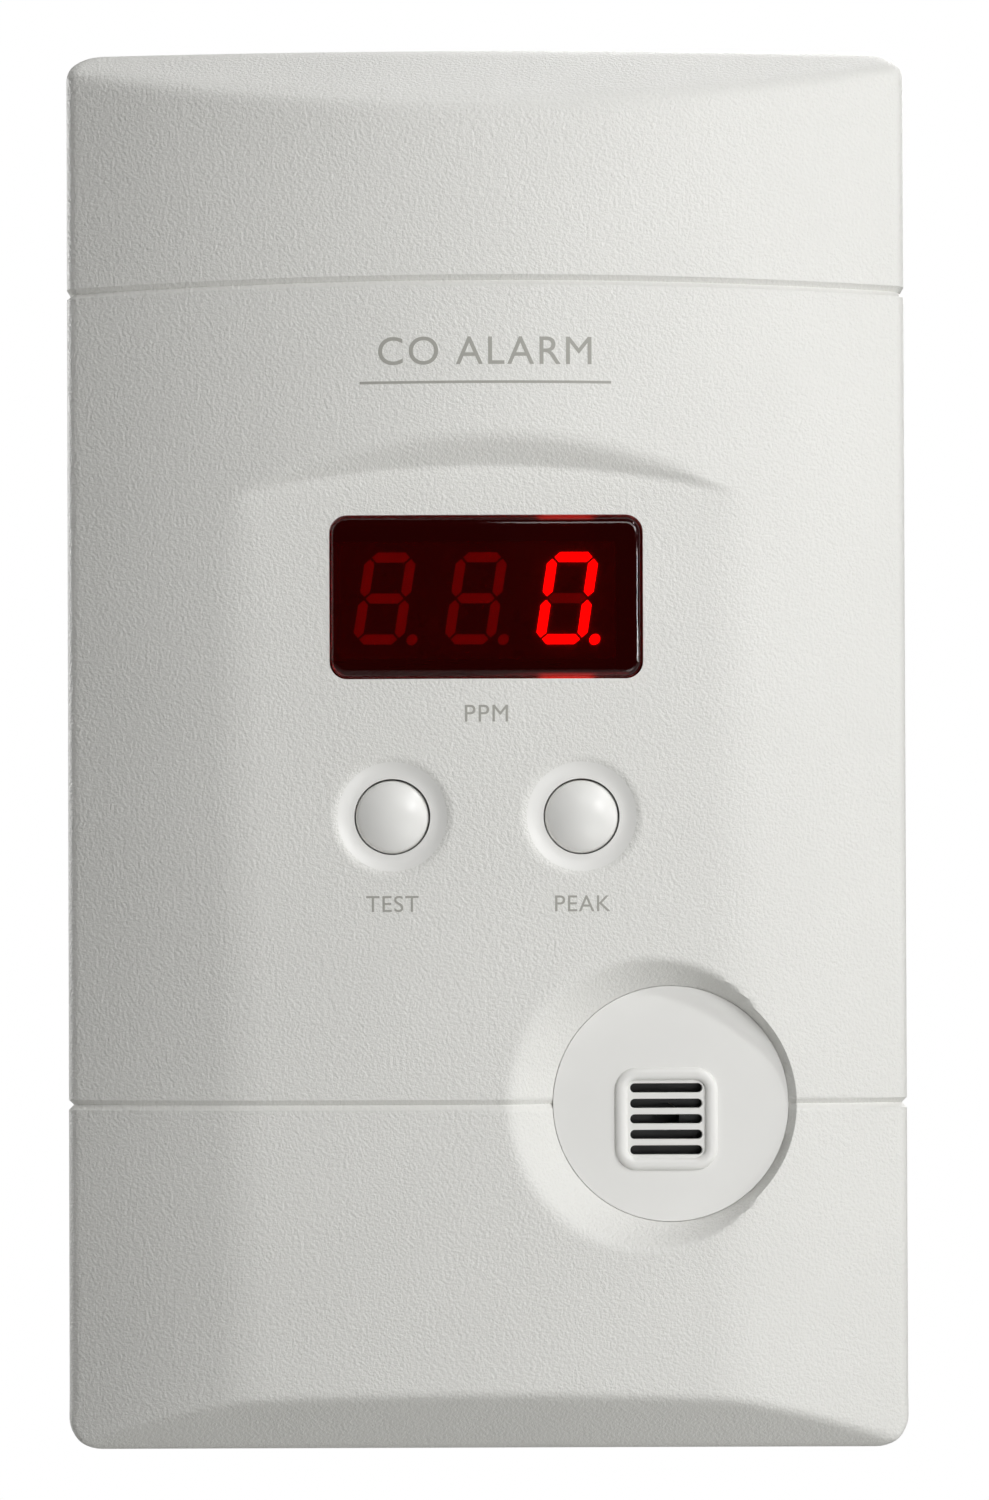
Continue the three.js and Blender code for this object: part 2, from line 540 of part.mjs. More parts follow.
// ---- battery and its door -------------------------------------------------------------------------
function batteryCase() {
  const { z, height, back, front, left, right } = BATTERY;
  const shape = roundedRectangle((left + right) / 2, z, right - left, height, 0.6);
  return frontPrism(shape, back, front, 2);
}

function batteryTop() {
  const { z, height, back, front, right } = BATTERY;
  return box(right + GAP, right + 1.3, back + 0.4, front - 0.4, z - height / 2 + 0.4, z + height / 2 - 0.4);
}

const STUD_SPACING = 12.7;
const studDepth = (BATTERY.back + BATTERY.front) / 2;
const studPlaces = {
  positive: { z: BATTERY.z + STUD_SPACING / 2, radius: 2.9 },
  negative: { z: BATTERY.z - STUD_SPACING / 2, radius: 4 },
};

function batteryStud({ z, radius }) {
  const start = BATTERY.right + 1.5;
  return crossRod(start, start + 2.3, studDepth, z, radius, 20);
}

function batterySnap() {
  const [left, right] = [BATTERY.right + 1.8, BATTERY.right + 5.6];
  const [halfDepth, halfHeight, socket] = [6, 12.6, 2.4];
  const hole = ({ z, radius }) => crossRod(left - 1, left + socket, studDepth, z, radius + GAP, 20);
  return box(left, right, studDepth - halfDepth, studDepth + halfDepth,
    BATTERY.z - halfHeight, BATTERY.z + halfHeight)
    .subtract(hole(studPlaces.positive))
    .subtract(hole(studPlaces.negative));
}

const LEAD_RADIUS = 0.65;

function batteryLead(offset) {
  const start = BATTERY.right + 5.9;
  const bend = [[0, 12, -54], [3.5, 12, -54], [7, 12.6, -53], [10, 15.5, -50], [11, 19.5, -48],
    [11, 21.9, -47.5]];
  const route = new THREE.CatmullRomCurve3(bend.map(([along, depth, z]) => {
    const ahead = along < 11 ? offset : 0;
    return new THREE.Vector3(start + along, ahead - depth, z + 2 * offset);
  }));
  const section = new THREE.Shape();
  section.absarc(0, 0, LEAD_RADIUS, 0, 2 * Math.PI);
  return solid(new THREE.ExtrudeGeometry(section, { steps: 14, extrudePath: route, curveSegments: 4 }));
}

function batteryDoor() {
  const { halfWidth, bottom, back, front } = DOOR;
  const rib = (x) => box(x - 0.5, x + 0.5, front - 0.5, front + 0.3, bottom + 3, HINGE.z - 3);
  return box(-halfWidth, halfWidth, back, front, bottom, HINGE.z)
    .add(crossRod(-halfWidth, halfWidth, HINGE.depth, HINGE.z, HINGE.barrel, 20))
    .add(box(-4, 4, front - 0.5, front + 3, bottom + 0.5, bottom + 1.7))
    .add(rib(-14)).add(rib(14))
    .subtract(box(-5, 5, back - 1, back + 0.8, bottom - 1, bottom + 2.6))
    .subtract(crossRod(-halfWidth - 1, halfWidth + 1, HINGE.depth, HINGE.z, HINGE.bore, 16));
}

function batteryDoorPin() {
  const half = DOOR_BAY.halfWidth + 1;
  return crossRod(-half, half, HINGE.depth, HINGE.z, HINGE.pin, 12);
}

// ---- plug adapter ---------------------------------------------------------------------------------
const adapterSeam = ADAPTER.front - 1.8;
const bladePlaces = { left: -BLADE.spacing / 2, right: BLADE.spacing / 2 };

function adapterCase() {
  const { halfWidth, bottom, top, wall } = ADAPTER;
  const z = (bottom + top) / 2;
  let body = frontPrism(roundedRectangle(0, z, 2 * halfWidth, top - bottom, 1.5), GAP, adapterSeam, 3)
    .subtract(box(-halfWidth + wall, halfWidth - wall, GAP + 2, 20, bottom + wall, top - wall));
  for (const x of Object.values(bladePlaces)) {
    const [half, tall] = [BLADE.thickness / 2 + 0.15, BLADE.width / 2 + 0.15];
    body = body.subtract(box(x - half, x + half, -1, 4, BLADE.z - tall, BLADE.z + tall));
  }
  return body;
}

function adapterLid() {
  const { halfWidth, bottom, top, front, wall } = ADAPTER;
  const z = (bottom + top) / 2;
  const lip = wall + 0.3;
  return frontPrism(roundedRectangle(0, z, 2 * halfWidth, top - bottom, 1.5), adapterSeam + GAP, front, 3)
    .add(box(-halfWidth + lip, halfWidth - lip, adapterSeam - 1, front - 1, bottom + lip, top - lip)
      .subtract(box(-halfWidth + lip + 1, halfWidth - lip - 1, 0, adapterSeam + GAP,
        bottom + lip + 1, top - lip - 1)));
}

function blade(x) {
  const { width, thickness, length, z, hole } = BLADE;
  const shape = new THREE.Shape();
  const inner = -4.3;
  const taper = 1.4;
  shape.moveTo(inner, z - width / 2);
  shape.lineTo(length - taper, z - width / 2);
  shape.lineTo(length, z - width / 2 + taper);
  shape.lineTo(length, z + width / 2 - taper);
  shape.lineTo(length - taper, z + width / 2);
  shape.lineTo(inner, z + width / 2);
  return sidePrism(shape, thickness / 2).translate([x, 0, 0])
    .subtract(crossRod(x - 2, x + 2, -(length - 4), z, hole, 16));
}

const CORE = {
  z: 40, halfWidth: 15, halfHeight: 12.5, near: 6.2, far: 13.8, leg: 4.5, window: 5.6, windowHalf: 7.6,
};

function transformerCore() {
  const { z, halfWidth, halfHeight, near, far, leg, window, windowHalf } = CORE;
  return box(-halfWidth, halfWidth, near, far, z - halfHeight, z + halfHeight)
    .subtract(box(-leg - window, -leg, 0, 20, z - windowHalf, z + windowHalf))
    .subtract(box(leg, leg + window, 0, 20, z - windowHalf, z + windowHalf));
}

function transformerCoil() {
  const { z, near, far, leg, window, windowHalf } = CORE;
  const [outer, half] = [leg + window - GAP, windowHalf - GAP];
  return box(-outer, outer, near - 1.3, far + 1.7, z - half, z + half)
    .subtract(box(-leg - GAP, leg + GAP, near - GAP, far + GAP, z - HEIGHT, z + HEIGHT));
}

function powerLeadGland() {
  const start = ADAPTER.halfWidth + GAP + 0.2;
  const { z, depth, sleeve, collar, bore } = GLAND;
  return crossRod(start, start + 2.4, depth, z, sleeve, 16)
    .add(crossRod(start + 1.6, start + 2.8, depth, z, collar, 20))
    .subtract(crossRod(start - 1, start + 4, depth, z, bore, 12));
}

// ---- screws ---------------------------------------------------------------------------------------
function screw([x, z], { head, shank, headBack, headHeight, tip }) {
  const { half, halfWidth, depth } = SCREW_CROSS;
  const [start, end] = [headBack - 1, headBack + depth];
  const cross = box(x - half, x + half, start, end, z - halfWidth, z + halfWidth)
    .add(box(x - halfWidth, x + halfWidth, start, end, z - half, z + half));
  const seat = headBack + headHeight;
  return turned(x, z, [[0, headBack], [head - 0.7, headBack], [head, headBack + 0.8], [head, seat],
    [shank, seat], [shank, tip - 1], [0, tip]], 14).subtract(cross);
}

// ---- assembly -------------------------------------------------------------------------------------
add('front_cover', frontCover(), COVER_PLASTIC);
add('rear_cover', rearCover(), COVER_PLASTIC);
add('rating_plate', ratingPlate(), ['#c8cacc', 0.4, 0.6]);
add('vent_grille', ventGrille(), SMOOTH_PLASTIC);
add('display_lens', displayLens(), ['#2a0405', 0.08, 0]);
add('display_module', displayModule(), ['#3a0b0c', 0.4, 0]);
add('display_holder', displayHolder(), SMOOTH_PLASTIC);
add('test_button', buttonCap(-BUTTON.x), SMOOTH_PLASTIC);
add('peak_button', buttonCap(BUTTON.x), SMOOTH_PLASTIC);
add('test_switch_plunger', switchPlunger(-BUTTON.x), BLACK_PLASTIC);
add('peak_switch_plunger', switchPlunger(BUTTON.x), BLACK_PLASTIC);
add('test_switch', switchBody(-BUTTON.x), BLACK_PLASTIC);
add('peak_switch', switchBody(BUTTON.x), BLACK_PLASTIC);
add('sounder_body', sounderBody(), BLACK_PLASTIC);
add('sounder_cap', sounderCap(), BLACK_PLASTIC);
add('piezo_disc', piezoDisc(), BRASS);
add('sounder_gasket', sounderGasket(), ['#333336', 0.95, 0]);
add('co_sensor_can', sensorCan(), STEEL);
add('co_sensor_cap', sensorCap(), SMOOTH_PLASTIC);
add('main_pcb', mainPcb(), ['#1f6b3a', 0.5, 0]);
add('microcontroller', microcontroller(), BLACK_PLASTIC);
CAPACITORS.forEach((place, i) => {
  add(`capacitor_${i + 1}`, capacitor(place), ['#23304a', 0.4, 0]);
});
add('battery_case', batteryCase(), ['#8f9499', 0.35, 0.8]);
add('battery_top', batteryTop(), BLACK_PLASTIC);
add('battery_stud_positive', batteryStud(studPlaces.positive), STEEL);
add('battery_stud_negative', batteryStud(studPlaces.negative), STEEL);
add('battery_snap', batterySnap(), BLACK_PLASTIC);
add('battery_lead_red', batteryLead(1), ['#b3211d', 0.5, 0]);
add('battery_lead_black', batteryLead(-1), BLACK_PLASTIC);
add('battery_door', batteryDoor(), COVER_PLASTIC);
add('battery_door_pin', batteryDoorPin(), STEEL);
add('adapter_case', adapterCase(), COVER_PLASTIC);
add('adapter_lid', adapterLid(), COVER_PLASTIC);
add('blade_left', blade(bladePlaces.left), BRASS);
add('blade_right', blade(bladePlaces.right), BRASS);
add('transformer_core', transformerCore(), ['#6f6f70', 0.5, 0.8]);
add('transformer_coil', transformerCoil(), ['#b4662f', 0.5, 0.5]);
add('power_lead_gland', powerLeadGland(), BLACK_PLASTIC);
caseScrewPlaces.forEach((place, i) => {
  add(`case_screw_${i + 1}`, screw(place, CASE_SCREW), STEEL);
});
pcbScrewPlaces.forEach((place, i) => {
  add(`pcb_screw_${i + 1}`, screw(place, PCB_SCREW), STEEL);
});

export default model;
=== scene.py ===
"""Looks for the plug-in carbon monoxide detector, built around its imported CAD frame.

Lengths are in millimetres inside the shape functions and become metres when a mesh is made.
"Depth" is the distance in front of the wall face, so a point at depth t lies at y = -t.
"""
import math

import bmesh
import bpy
import numpy as np
from mathutils import Matrix, Vector


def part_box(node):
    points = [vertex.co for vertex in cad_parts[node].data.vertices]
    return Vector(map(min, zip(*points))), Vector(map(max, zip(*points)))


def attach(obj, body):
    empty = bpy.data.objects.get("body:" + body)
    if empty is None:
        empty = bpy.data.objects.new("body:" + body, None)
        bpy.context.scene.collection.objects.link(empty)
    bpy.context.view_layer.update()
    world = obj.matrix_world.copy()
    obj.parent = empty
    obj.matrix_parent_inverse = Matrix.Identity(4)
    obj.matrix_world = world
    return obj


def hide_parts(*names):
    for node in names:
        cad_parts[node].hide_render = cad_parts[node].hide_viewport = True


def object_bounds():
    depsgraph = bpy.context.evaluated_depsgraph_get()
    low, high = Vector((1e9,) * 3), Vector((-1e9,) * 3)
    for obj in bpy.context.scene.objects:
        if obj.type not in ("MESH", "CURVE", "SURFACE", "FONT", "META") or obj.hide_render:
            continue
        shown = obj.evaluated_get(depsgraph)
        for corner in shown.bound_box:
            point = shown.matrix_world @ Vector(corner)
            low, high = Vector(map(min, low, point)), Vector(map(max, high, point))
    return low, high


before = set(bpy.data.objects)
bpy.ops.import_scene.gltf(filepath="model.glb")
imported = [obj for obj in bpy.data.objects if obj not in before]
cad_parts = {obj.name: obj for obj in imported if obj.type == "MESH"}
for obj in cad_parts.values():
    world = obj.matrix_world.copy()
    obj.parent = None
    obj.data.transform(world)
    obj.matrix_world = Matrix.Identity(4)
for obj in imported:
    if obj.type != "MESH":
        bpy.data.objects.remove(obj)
CAD_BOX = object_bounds()
MM = 0.001

# ---- driving dimensions, in millimetres ---------------------------------------------------------
COVER_LOW, COVER_HIGH = (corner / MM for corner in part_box("front_cover"))
WIDTH = 2 * round(COVER_HIGH.x, 3)
HEIGHT = 2 * round(min(-COVER_LOW.z, COVER_HIGH.z), 3)
SPLIT = -COVER_HIGH.y
RIM = 32.0
INK = 0.02
CAPITAL_HEIGHT = 0.72  # of the font, when its size is 1
CROWN = 8.2 - 1.5 * INK
CORNER = 3.6
TOP_BOW = 0.6
WALL = 2.2
THINNEST = 1.0
INSERT_THICKNESS = 1.6
EDGE = 1.1
BOTTOM_EDGE = 0.5
FACET = 6.05
FACET_FALL = 0.7
FACET_HALF = 27.5
BROW_Z = 29.6
BROW_END_DROP = 2.1
BROW_SLOPE = 1.44
BROW_RADIUS = (FACET_HALF**2 + BROW_END_DROP**2) / (2 * BROW_END_DROP)
TOP_BEVEL = (2.4, 0.72)
BOTTOM_BEVEL = (0.27, 1.0)
# how widely two surfaces of the front run into each other, and the height where the brow's blend narrows
BLENDS = {"facet": 0.42, "brow_top": 0.22, "brow_foot": 0.16, "brow_from": 22.0,
          "top_bevel": 1.5, "bottom_bevel": 0.6, "recess": 0.45}
GROOVES = (49.3, -39.25)
GROOVE_DEPTH = 0.5
GROOVE_HALF = 0.55
LENS = {"x": 0.0, "z": 15.46, "width": 33.4, "height": 17.27, "corner": 1.7, "front": 38.25,
        "rounding": 0.8, "seat": 35.35, "back": 34.15, "flange": 1.5}
BUTTON = {"x": 10.2, "z": -8.2, "radius": 3.95, "hole": 4.1, "front": 38.2}
CAP_FLANGE = {"radius": 5.2, "front": 35.4, "back": 34.4}
CAP_STEM = {"radius": 2.0, "end": 28.6}
DISH = {"floor": 4.3, "rim": 6.5, "smooth": 5.9, "depth": 0.58}
CAP_RISE = 1.1
# the stretch across the lens where its painted glow beside the lit digit lies
GLOW_BAND = {"x": 8.6, "half": 2.9}
RECESS = {"x": 19.8, "z": -39.25, "radius": 12.8, "floor": 35.0}
RECESS_RIM = {"x": 17.95, "z": -39.27, "half_width": 14.95, "half_height": 15.57, "depth": 37.7}
SOUND_PORT = {"x": 19.3, "z": -40.7, "screen": 1.45, "front": 30.3, "back": 30.1}
SOUND_BLOCK = {"x": 19.3, "z": -40.9, "size": 8.4, "slots": 5}
# how far round a centre the cover's grid lines are bent into circles
DISH_ZONE = 9.0
RECESS_ZONE = (14.5, 21.5)
CASE_SCREW = {"head": 3.1, "shank": 1.45, "start": 7.4, "head_height": 2.3, "tip": 26}
PCB_SCREW = {"head": 2.6, "shank": 1.2, "start": 20.2, "head_height": 1.7, "tip": 29}
BEAD = {"half": 0.68, "rise": 0.42, "corner": 1.75}


# ---- small helpers --------------------------------------------------------------------------------
def new_object(name, mesh, body="housing", replaces=()):
    piece = bpy.data.objects.new(name, mesh)
    bpy.context.scene.collection.objects.link(piece)
    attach(piece, body)
    if replaces:
        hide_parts(*replaces)
    return piece


def mesh_from(name, points, faces, material, smooth_angle=35):
    """A mesh from points in millimetres (x, depth, z) and faces."""
    mesh = bpy.data.meshes.new(name)
    placed = [(x * MM, -depth * MM, z * MM) for x, depth, z in points]
    mesh.from_pydata(placed, [], faces)
    tidy_normals(mesh)
    mesh.materials.append(material)
    smooth_by_angle(mesh, smooth_angle)
    return mesh


def tidy_normals(mesh):
    bm = bmesh.new()
    bm.from_mesh(mesh)
    bmesh.ops.recalc_face_normals(bm, faces=bm.faces)
    if bm.calc_volume(signed=True) < 0:
        bmesh.ops.reverse_faces(bm, faces=bm.faces)
    bm.to_mesh(mesh)
    bm.free()


def smooth_by_angle(mesh, degrees):
    mesh.shade_smooth()
    mesh.set_sharp_from_angle(angle=math.radians(degrees))


def loft(rings, close_start=True, close_end=True):
    """Points and faces of a skin over rings with the same number of points."""
    count = len(rings[0])
    points = [point for ring in rings for point in ring]
    faces = []
    for level in range(len(rings) - 1):
        for i in range(count):
            j = (i + 1) % count
            low, high = level * count, (level + 1) * count
            faces.append((low + i, low + j, high + j, high + i))
    if close_start:
        faces.append(tuple(range(count))[::-1])
    if close_end:
        faces.append(tuple(range((len(rings) - 1) * count, len(rings) * count)))
    return points, faces


def turned(x, z, profile, sides=96):
    """Rings round an axis square to the wall, from (radius, depth) pairs."""
    turns = [2 * math.pi * i / sides for i in range(sides)]
    return [[(x + r * math.cos(a), depth, z + r * math.sin(a)) for a in turns] for r, depth in profile]


def rounded_ring(x, z, width, height, corner, depth, steps=8):
    ring = []
    for turn, (i, j) in enumerate([(1, 1), (-1, 1), (-1, -1), (1, -1)]):
        cx, cz = x + i * (width / 2 - corner), z + j * (height / 2 - corner)
        for step in range(steps + 1):
            a = math.pi / 2 * (turn + step / steps)
            ring.append((cx + corner * math.cos(a), depth, cz + corner * math.sin(a)))
    return ring


def arc_profile(radius, start, end, steps):
    """(inset, drop) pairs round a quarter circle between two angles in degrees."""
    angles = [math.radians(start + (end - start) * i / steps) for i in range(steps + 1)]
    return [(radius * (1 - math.cos(a)), radius * (1 - math.sin(a))) for a in angles]


# ---- materials ------------------------------------------------------------------------------------
def node_material(name):
    material = bpy.data.materials.new(name)
    material.use_nodes = True
    tree = material.node_tree
    shader = tree.nodes["Principled BSDF"]
    return material, tree, shader


def link(tree, source, output, target, socket):
    tree.links.new(source.outputs[output], target.inputs[socket])


def object_coordinates(tree):
    return tree.nodes.new("ShaderNodeTexCoord")


def noise(tree, coordinates, scale, detail=2.0, roughness=0.5):
    node = tree.nodes.new("ShaderNodeTexNoise")
    node.inputs["Scale"].default_value = scale
    node.inputs["Detail"].default_value = detail
    node.inputs["Roughness"].default_value = roughness
    link(tree, coordinates, "Object", node, "Vector")
    return node


def ramp(tree, source, output, low, high, start=0.35, end=0.65):
    node = tree.nodes.new("ShaderNodeValToRGB")
    node.color_ramp.elements[0].position = start
    node.color_ramp.elements[0].color = low
    node.color_ramp.elements[1].position = end
    node.color_ramp.elements[1].color = high
    link(tree, source, output, node, "Fac")
    return node


def bump(tree, source, output, shader, strength, distance, below=None):
    node = tree.nodes.new("ShaderNodeBump")
    node.inputs["Strength"].default_value = strength
    node.inputs["Distance"].default_value = distance
    link(tree, source, output, node, "Height")
    if below is not None:
        link(tree, below, "Normal", node, "Normal")
    link(tree, node, "Normal", shader, "Normal")
    return node


def moulded_plastic(name, color, texture_depth, roughness=0.46):
    """Off-white moulding with a fine spark-eroded texture and a faint mottle."""
    material, tree, shader = node_material(name)
    coordinates = object_coordinates(tree)
    mottle = noise(tree, coordinates, 45, 3)
    shade = [channel * 0.975 for channel in color]
    tint = ramp(tree, mottle, "Fac", (*shade, 1), (*color, 1))
    link(tree, tint, "Color", shader, "Base Color")
    grain = noise(tree, coordinates, 2900, 2, 0.6)
    gloss = ramp(tree, grain, "Fac", (roughness - 0.05,) * 3 + (1,), (roughness + 0.07,) * 3 + (1,))
    link(tree, gloss, "Color", shader, "Roughness")
    if texture_depth:
        bump(tree, grain, "Fac", shader, 1.0, texture_depth)
    return material


def smooth_plastic(name, color, roughness):
    material, tree, shader = node_material(name)
    coordinates = object_coordinates(tree)
    mottle = noise(tree, coordinates, 60, 2)
    shade = [channel * 0.98 for channel in color]
    tint = ramp(tree, mottle, "Fac", (*shade, 1), (*color, 1))
    link(tree, tint, "Color", shader, "Base Color")
    haze = noise(tree, coordinates, 400, 3)
    gloss = ramp(tree, haze, "Fac", (roughness * 0.85,) * 3 + (1,), (roughness * 1.2,) * 3 + (1,))
    link(tree, gloss, "Color", shader, "Roughness")
    bump(tree, haze, "Fac", shader, 0.1, 0.00001)
    return material


def metal(name, color, roughness, stretch=(1, 1, 12)):
    material, tree, shader = node_material(name)
    shader.inputs["Metallic"].default_value = 1.0
    coordinates = object_coordinates(tree)
    mapping = tree.nodes.new("ShaderNodeMapping")
    mapping.inputs["Scale"].default_value = stretch
    link(tree, coordinates, "Object", mapping, "Vector")
    brushed = tree.nodes.new("ShaderNodeTexNoise")
    brushed.inputs["Scale"].default_value = 500
    brushed.inputs["Detail"].default_value = 3
    link(tree, mapping, "Vector", brushed, "Vector")
    shade = [channel * 0.82 for channel in color]
    tint = ramp(tree, brushed, "Fac", (*shade, 1), (*color, 1))
    link(tree, tint, "Color", shader, "Base Color")
    gloss = ramp(tree, brushed, "Fac", (roughness * 0.8,) * 3 + (1,), (roughness * 1.35,) * 3 + (1,))
    link(tree, gloss, "Color", shader, "Roughness")
    bump(tree, brushed, "Fac", shader, 0.2, 0.00001)
    return material


def glow(name, color, strength):
    material, tree, shader = node_material(name)
    shader.inputs["Base Color"].default_value = (*color, 1)
    shader.inputs["Roughness"].default_value = 0.4
    coordinates = object_coordinates(tree)
    patch = noise(tree, coordinates, 900, 2)
    hot = ramp(tree, patch, "Fac", tuple(c * 0.9 for c in color) + (1,), (*color, 1))
    link(tree, hot, "Color", shader, "Emission Color")
    shader.inputs["Emission Strength"].default_value = strength
    return material


def lens_plastic():
    """Dark red tinted window: mostly dark, lets the lit digit through, and carries a painted glow."""
    material, tree, shader = node_material("lens_plastic")
    shader.inputs["Base Color"].default_value = (0.30, 0.010, 0.012, 1)
    shader.inputs["Transmission Weight"].default_value = 1.0
    shader.inputs["IOR"].default_value = 1.49
    coordinates = object_coordinates(tree)
    haze = noise(tree, coordinates, 300, 2)
    gloss = ramp(tree, haze, "Fac", (0.03,) * 3 + (1,), (0.07,) * 3 + (1,))
    link(tree, gloss, "Color", shader, "Roughness")

    # painted light standing in for light caught inside the tinted plastic: a faint painted veil all over,
    # and a painted glow along the edges beside the lit digit
    parts = tree.nodes.new("ShaderNodeSeparateXYZ")
    link(tree, coordinates, "Object", parts, "Vector")
    across = blend_band(tree, parts, "X", GLOW_BAND["x"], GLOW_BAND["half"], 0.0006)
    height = blend_band(tree, parts, "Z", LENS["z"], LENS["height"] / 2 - 0.33, 0.0002)
    edge = calculate(tree, "SUBTRACT", 1.0, height)
    strength = calculate(tree, "MULTIPLY", across, edge)
    strength = calculate(tree, "MULTIPLY", strength, 1.6)
    strength = calculate(tree, "ADD", strength, 0.055)
    shader.inputs["Emission Color"].default_value = (0.16, 0.005, 0.003, 1)
    tree.links.new(strength, shader.inputs["Emission Strength"])
    return material


def calculate(tree, operation, a, b):
    """A math node; a and b are numbers or output sockets."""
    node = tree.nodes.new("ShaderNodeMath")
    node.operation = operation
    for socket, value in zip(node.inputs, (a, b)):
        if isinstance(value, (int, float)):
            socket.default_value = value
        else:
            tree.links.new(value, socket)
    return node.outputs[0]


def blend_band(tree, parts, axis, middle, half, blur):
    """One inside a band of a coordinate, zero outside it. The band is in millimetres, its blur in metres."""
    away = calculate(tree, "SUBTRACT", parts.outputs[axis], middle * MM)
    away = calculate(tree, "ABSOLUTE", away, 0.0)
    fade = tree.nodes.new("ShaderNodeMapRange")
    fade.interpolation_type = "SMOOTHSTEP"
    fade.inputs["From Min"].default_value = half * MM - blur
    fade.inputs["From Max"].default_value = half * MM + blur
    fade.inputs["To Min"].default_value = 1.0
    fade.inputs["To Max"].default_value = 0.0
    tree.links.new(away, fade.inputs["Value"])
    return fade.outputs["Result"]


COVER = (0.80, 0.796, 0.764)
MATERIALS = {
    "cover": moulded_plastic("cover_plastic", COVER, 0.00012),
    "smooth": smooth_plastic("smooth_plastic", (0.85, 0.846, 0.82), 0.34),
    "lens": lens_plastic(),
    "black": smooth_plastic("black_plastic", (0.012, 0.012, 0.013), 0.42),
    "display": smooth_plastic("display_plastic", (0.11, 0.006, 0.005), 0.3),
    "ink": smooth_plastic("ink", (0.40, 0.395, 0.36), 0.5),
    "lit": glow("segment_lit", (1.0, 0.012, 0.006), 8.0),
    # the unlit segments get a faint painted glow that stands in for light reaching them through the lens
    "unlit": glow("segment_unlit_painted_glow", (0.30, 0.010, 0.014), 0.85),
    "steel": metal("steel", (0.62, 0.62, 0.63), 0.3),
    "brass": metal("brass", (0.72, 0.55, 0.28), 0.32),
    "blade": metal("blade_metal", (0.66, 0.60, 0.46), 0.28),
    "foil": metal("plate_foil", (0.62, 0.63, 0.64), 0.38),
    "copper": metal("copper", (0.60, 0.24, 0.09), 0.35, (1, 40, 1)),
    "core": metal("core_steel", (0.28, 0.28, 0.29), 0.45, (1, 60, 1)),
    "jacket": smooth_plastic("battery_jacket", (0.20, 0.21, 0.22), 0.3),
    "board": smooth_plastic("circuit_board", (0.02, 0.13, 0.05), 0.35),
    "sleeve": smooth_plastic("capacitor_sleeve", (0.02, 0.03, 0.08), 0.3),
    "foam": moulded_plastic("foam", (0.035, 0.035, 0.038), 0.0001, 0.85),
    "rubber": moulded_plastic("rubber", (0.015, 0.015, 0.015), 0.00003, 0.6),
    "red": smooth_plastic("red_insulation", (0.45, 0.02, 0.015), 0.4),
}


# ---- the front surface ----------------------------------------------------------------------------
def soft_min(a, b, k):
    h = np.maximum(k - np.abs(a - b), 0) / k
    return np.minimum(a, b) - h * h * k / 4


def soft_max(a, b, k):
    return -soft_min(-a, -b, k)


def brow_arc(x):
    return BROW_Z - BROW_RADIUS + np.sqrt(BROW_RADIUS**2 - x**2)


def plain_front(x, z):
    """Depth of the front without its edge rounding, grooves, dishes and recess."""
    crown = RIM + CROWN * (1 - (2 * x / WIDTH) ** 2)
    facet = RIM + FACET - FACET_FALL * (x / FACET_HALF) ** 2
    brow = RIM + FACET + (z - brow_arc(x)) / BROW_SLOPE
    near_brow = np.clip((z - BLENDS["brow_from"]) / 4, 0, 1)
    blend = BLENDS["facet"] + (BLENDS["brow_top"] - BLENDS["facet"]) * near_brow
    depth = soft_min(crown, soft_max(facet, brow, BLENDS["brow_foot"]), blend)
    top = RIM + (HEIGHT / 2 - TOP_BEVEL[0] - z) / TOP_BEVEL[1]
    bottom = RIM + (HEIGHT / 2 - BOTTOM_BEVEL[0] + z) / BOTTOM_BEVEL[1]
    return soft_min(soft_min(depth, top, BLENDS["top_bevel"]), bottom, BLENDS["bottom_bevel"])


def funnel_depth(x, z):
    """Depth of the recess's leaning wall at a point, carried on beyond its rim."""
    low, high = np.full_like(x, -0.5), np.full_like(x, 6.0)
    for _ in range(22):
        level = (low + high) / 2
        across = x - RECESS["x"] - level * (RECESS_RIM["x"] - RECESS["x"])
        along = z - RECESS["z"] - level * (RECESS_RIM["z"] - RECESS["z"])
        half_width = RECESS["radius"] + level * (RECESS_RIM["half_width"] - RECESS["radius"])
        half_height = RECESS["radius"] + level * (RECESS_RIM["half_height"] - RECESS["radius"])
        outside = (across / half_width) ** 2 + (along / half_height) ** 2 > 1
        low = np.where(outside, level, low)
        high = np.where(outside, high, level)
    return RECESS["floor"] + low * (RECESS_RIM["depth"] - RECESS["floor"])


def groove_fall(z):
    fall = np.zeros_like(z)
    for place in GROOVES:
        fall = np.maximum(fall, GROOVE_DEPTH * np.clip(1 - np.abs(z - place) / GROOVE_HALF, 0, 1))
    return fall


def dish_depth(x, z, depth):
    for side in (-1, 1):
        r = np.hypot(x - side * BUTTON["x"], z - BUTTON["z"])
        share = np.clip((DISH["rim"] - r) / (DISH["rim"] - DISH["floor"]), 0, 1) ** 0.75
        depth = depth - DISH["depth"] * share * share * (3 - 2 * share)
    return depth


def outline_distance(x, z):
    """Distance inside the rounded outline seen from the front."""
    u = np.abs(x) - (WIDTH / 2 - CORNER)
    v = np.abs(z) - (HEIGHT / 2 - CORNER)
    outside = np.hypot(np.maximum(u, 0), np.maximum(v, 0))
    return CORNER - outside - np.minimum(np.maximum(u, v), 0)


def filled_lines(stops, step_at):
    """Sorted coordinates through all stops, no further apart than the local step."""
    stops = sorted(set(round(s, 4) for s in stops))
    lines = [stops[0]]
    for a, b in zip(stops, stops[1:]):
        if b - a < 0.03:
            continue
        pieces = max(1, math.ceil((b - a) / step_at((a + b) / 2) - 1e-6))
        lines += [a + (b - a) * (i + 1) / pieces for i in range(pieces)]
    return np.array(lines)


def both_sides(values):
    return [sign * value for value in values for sign in (-1, 1)]


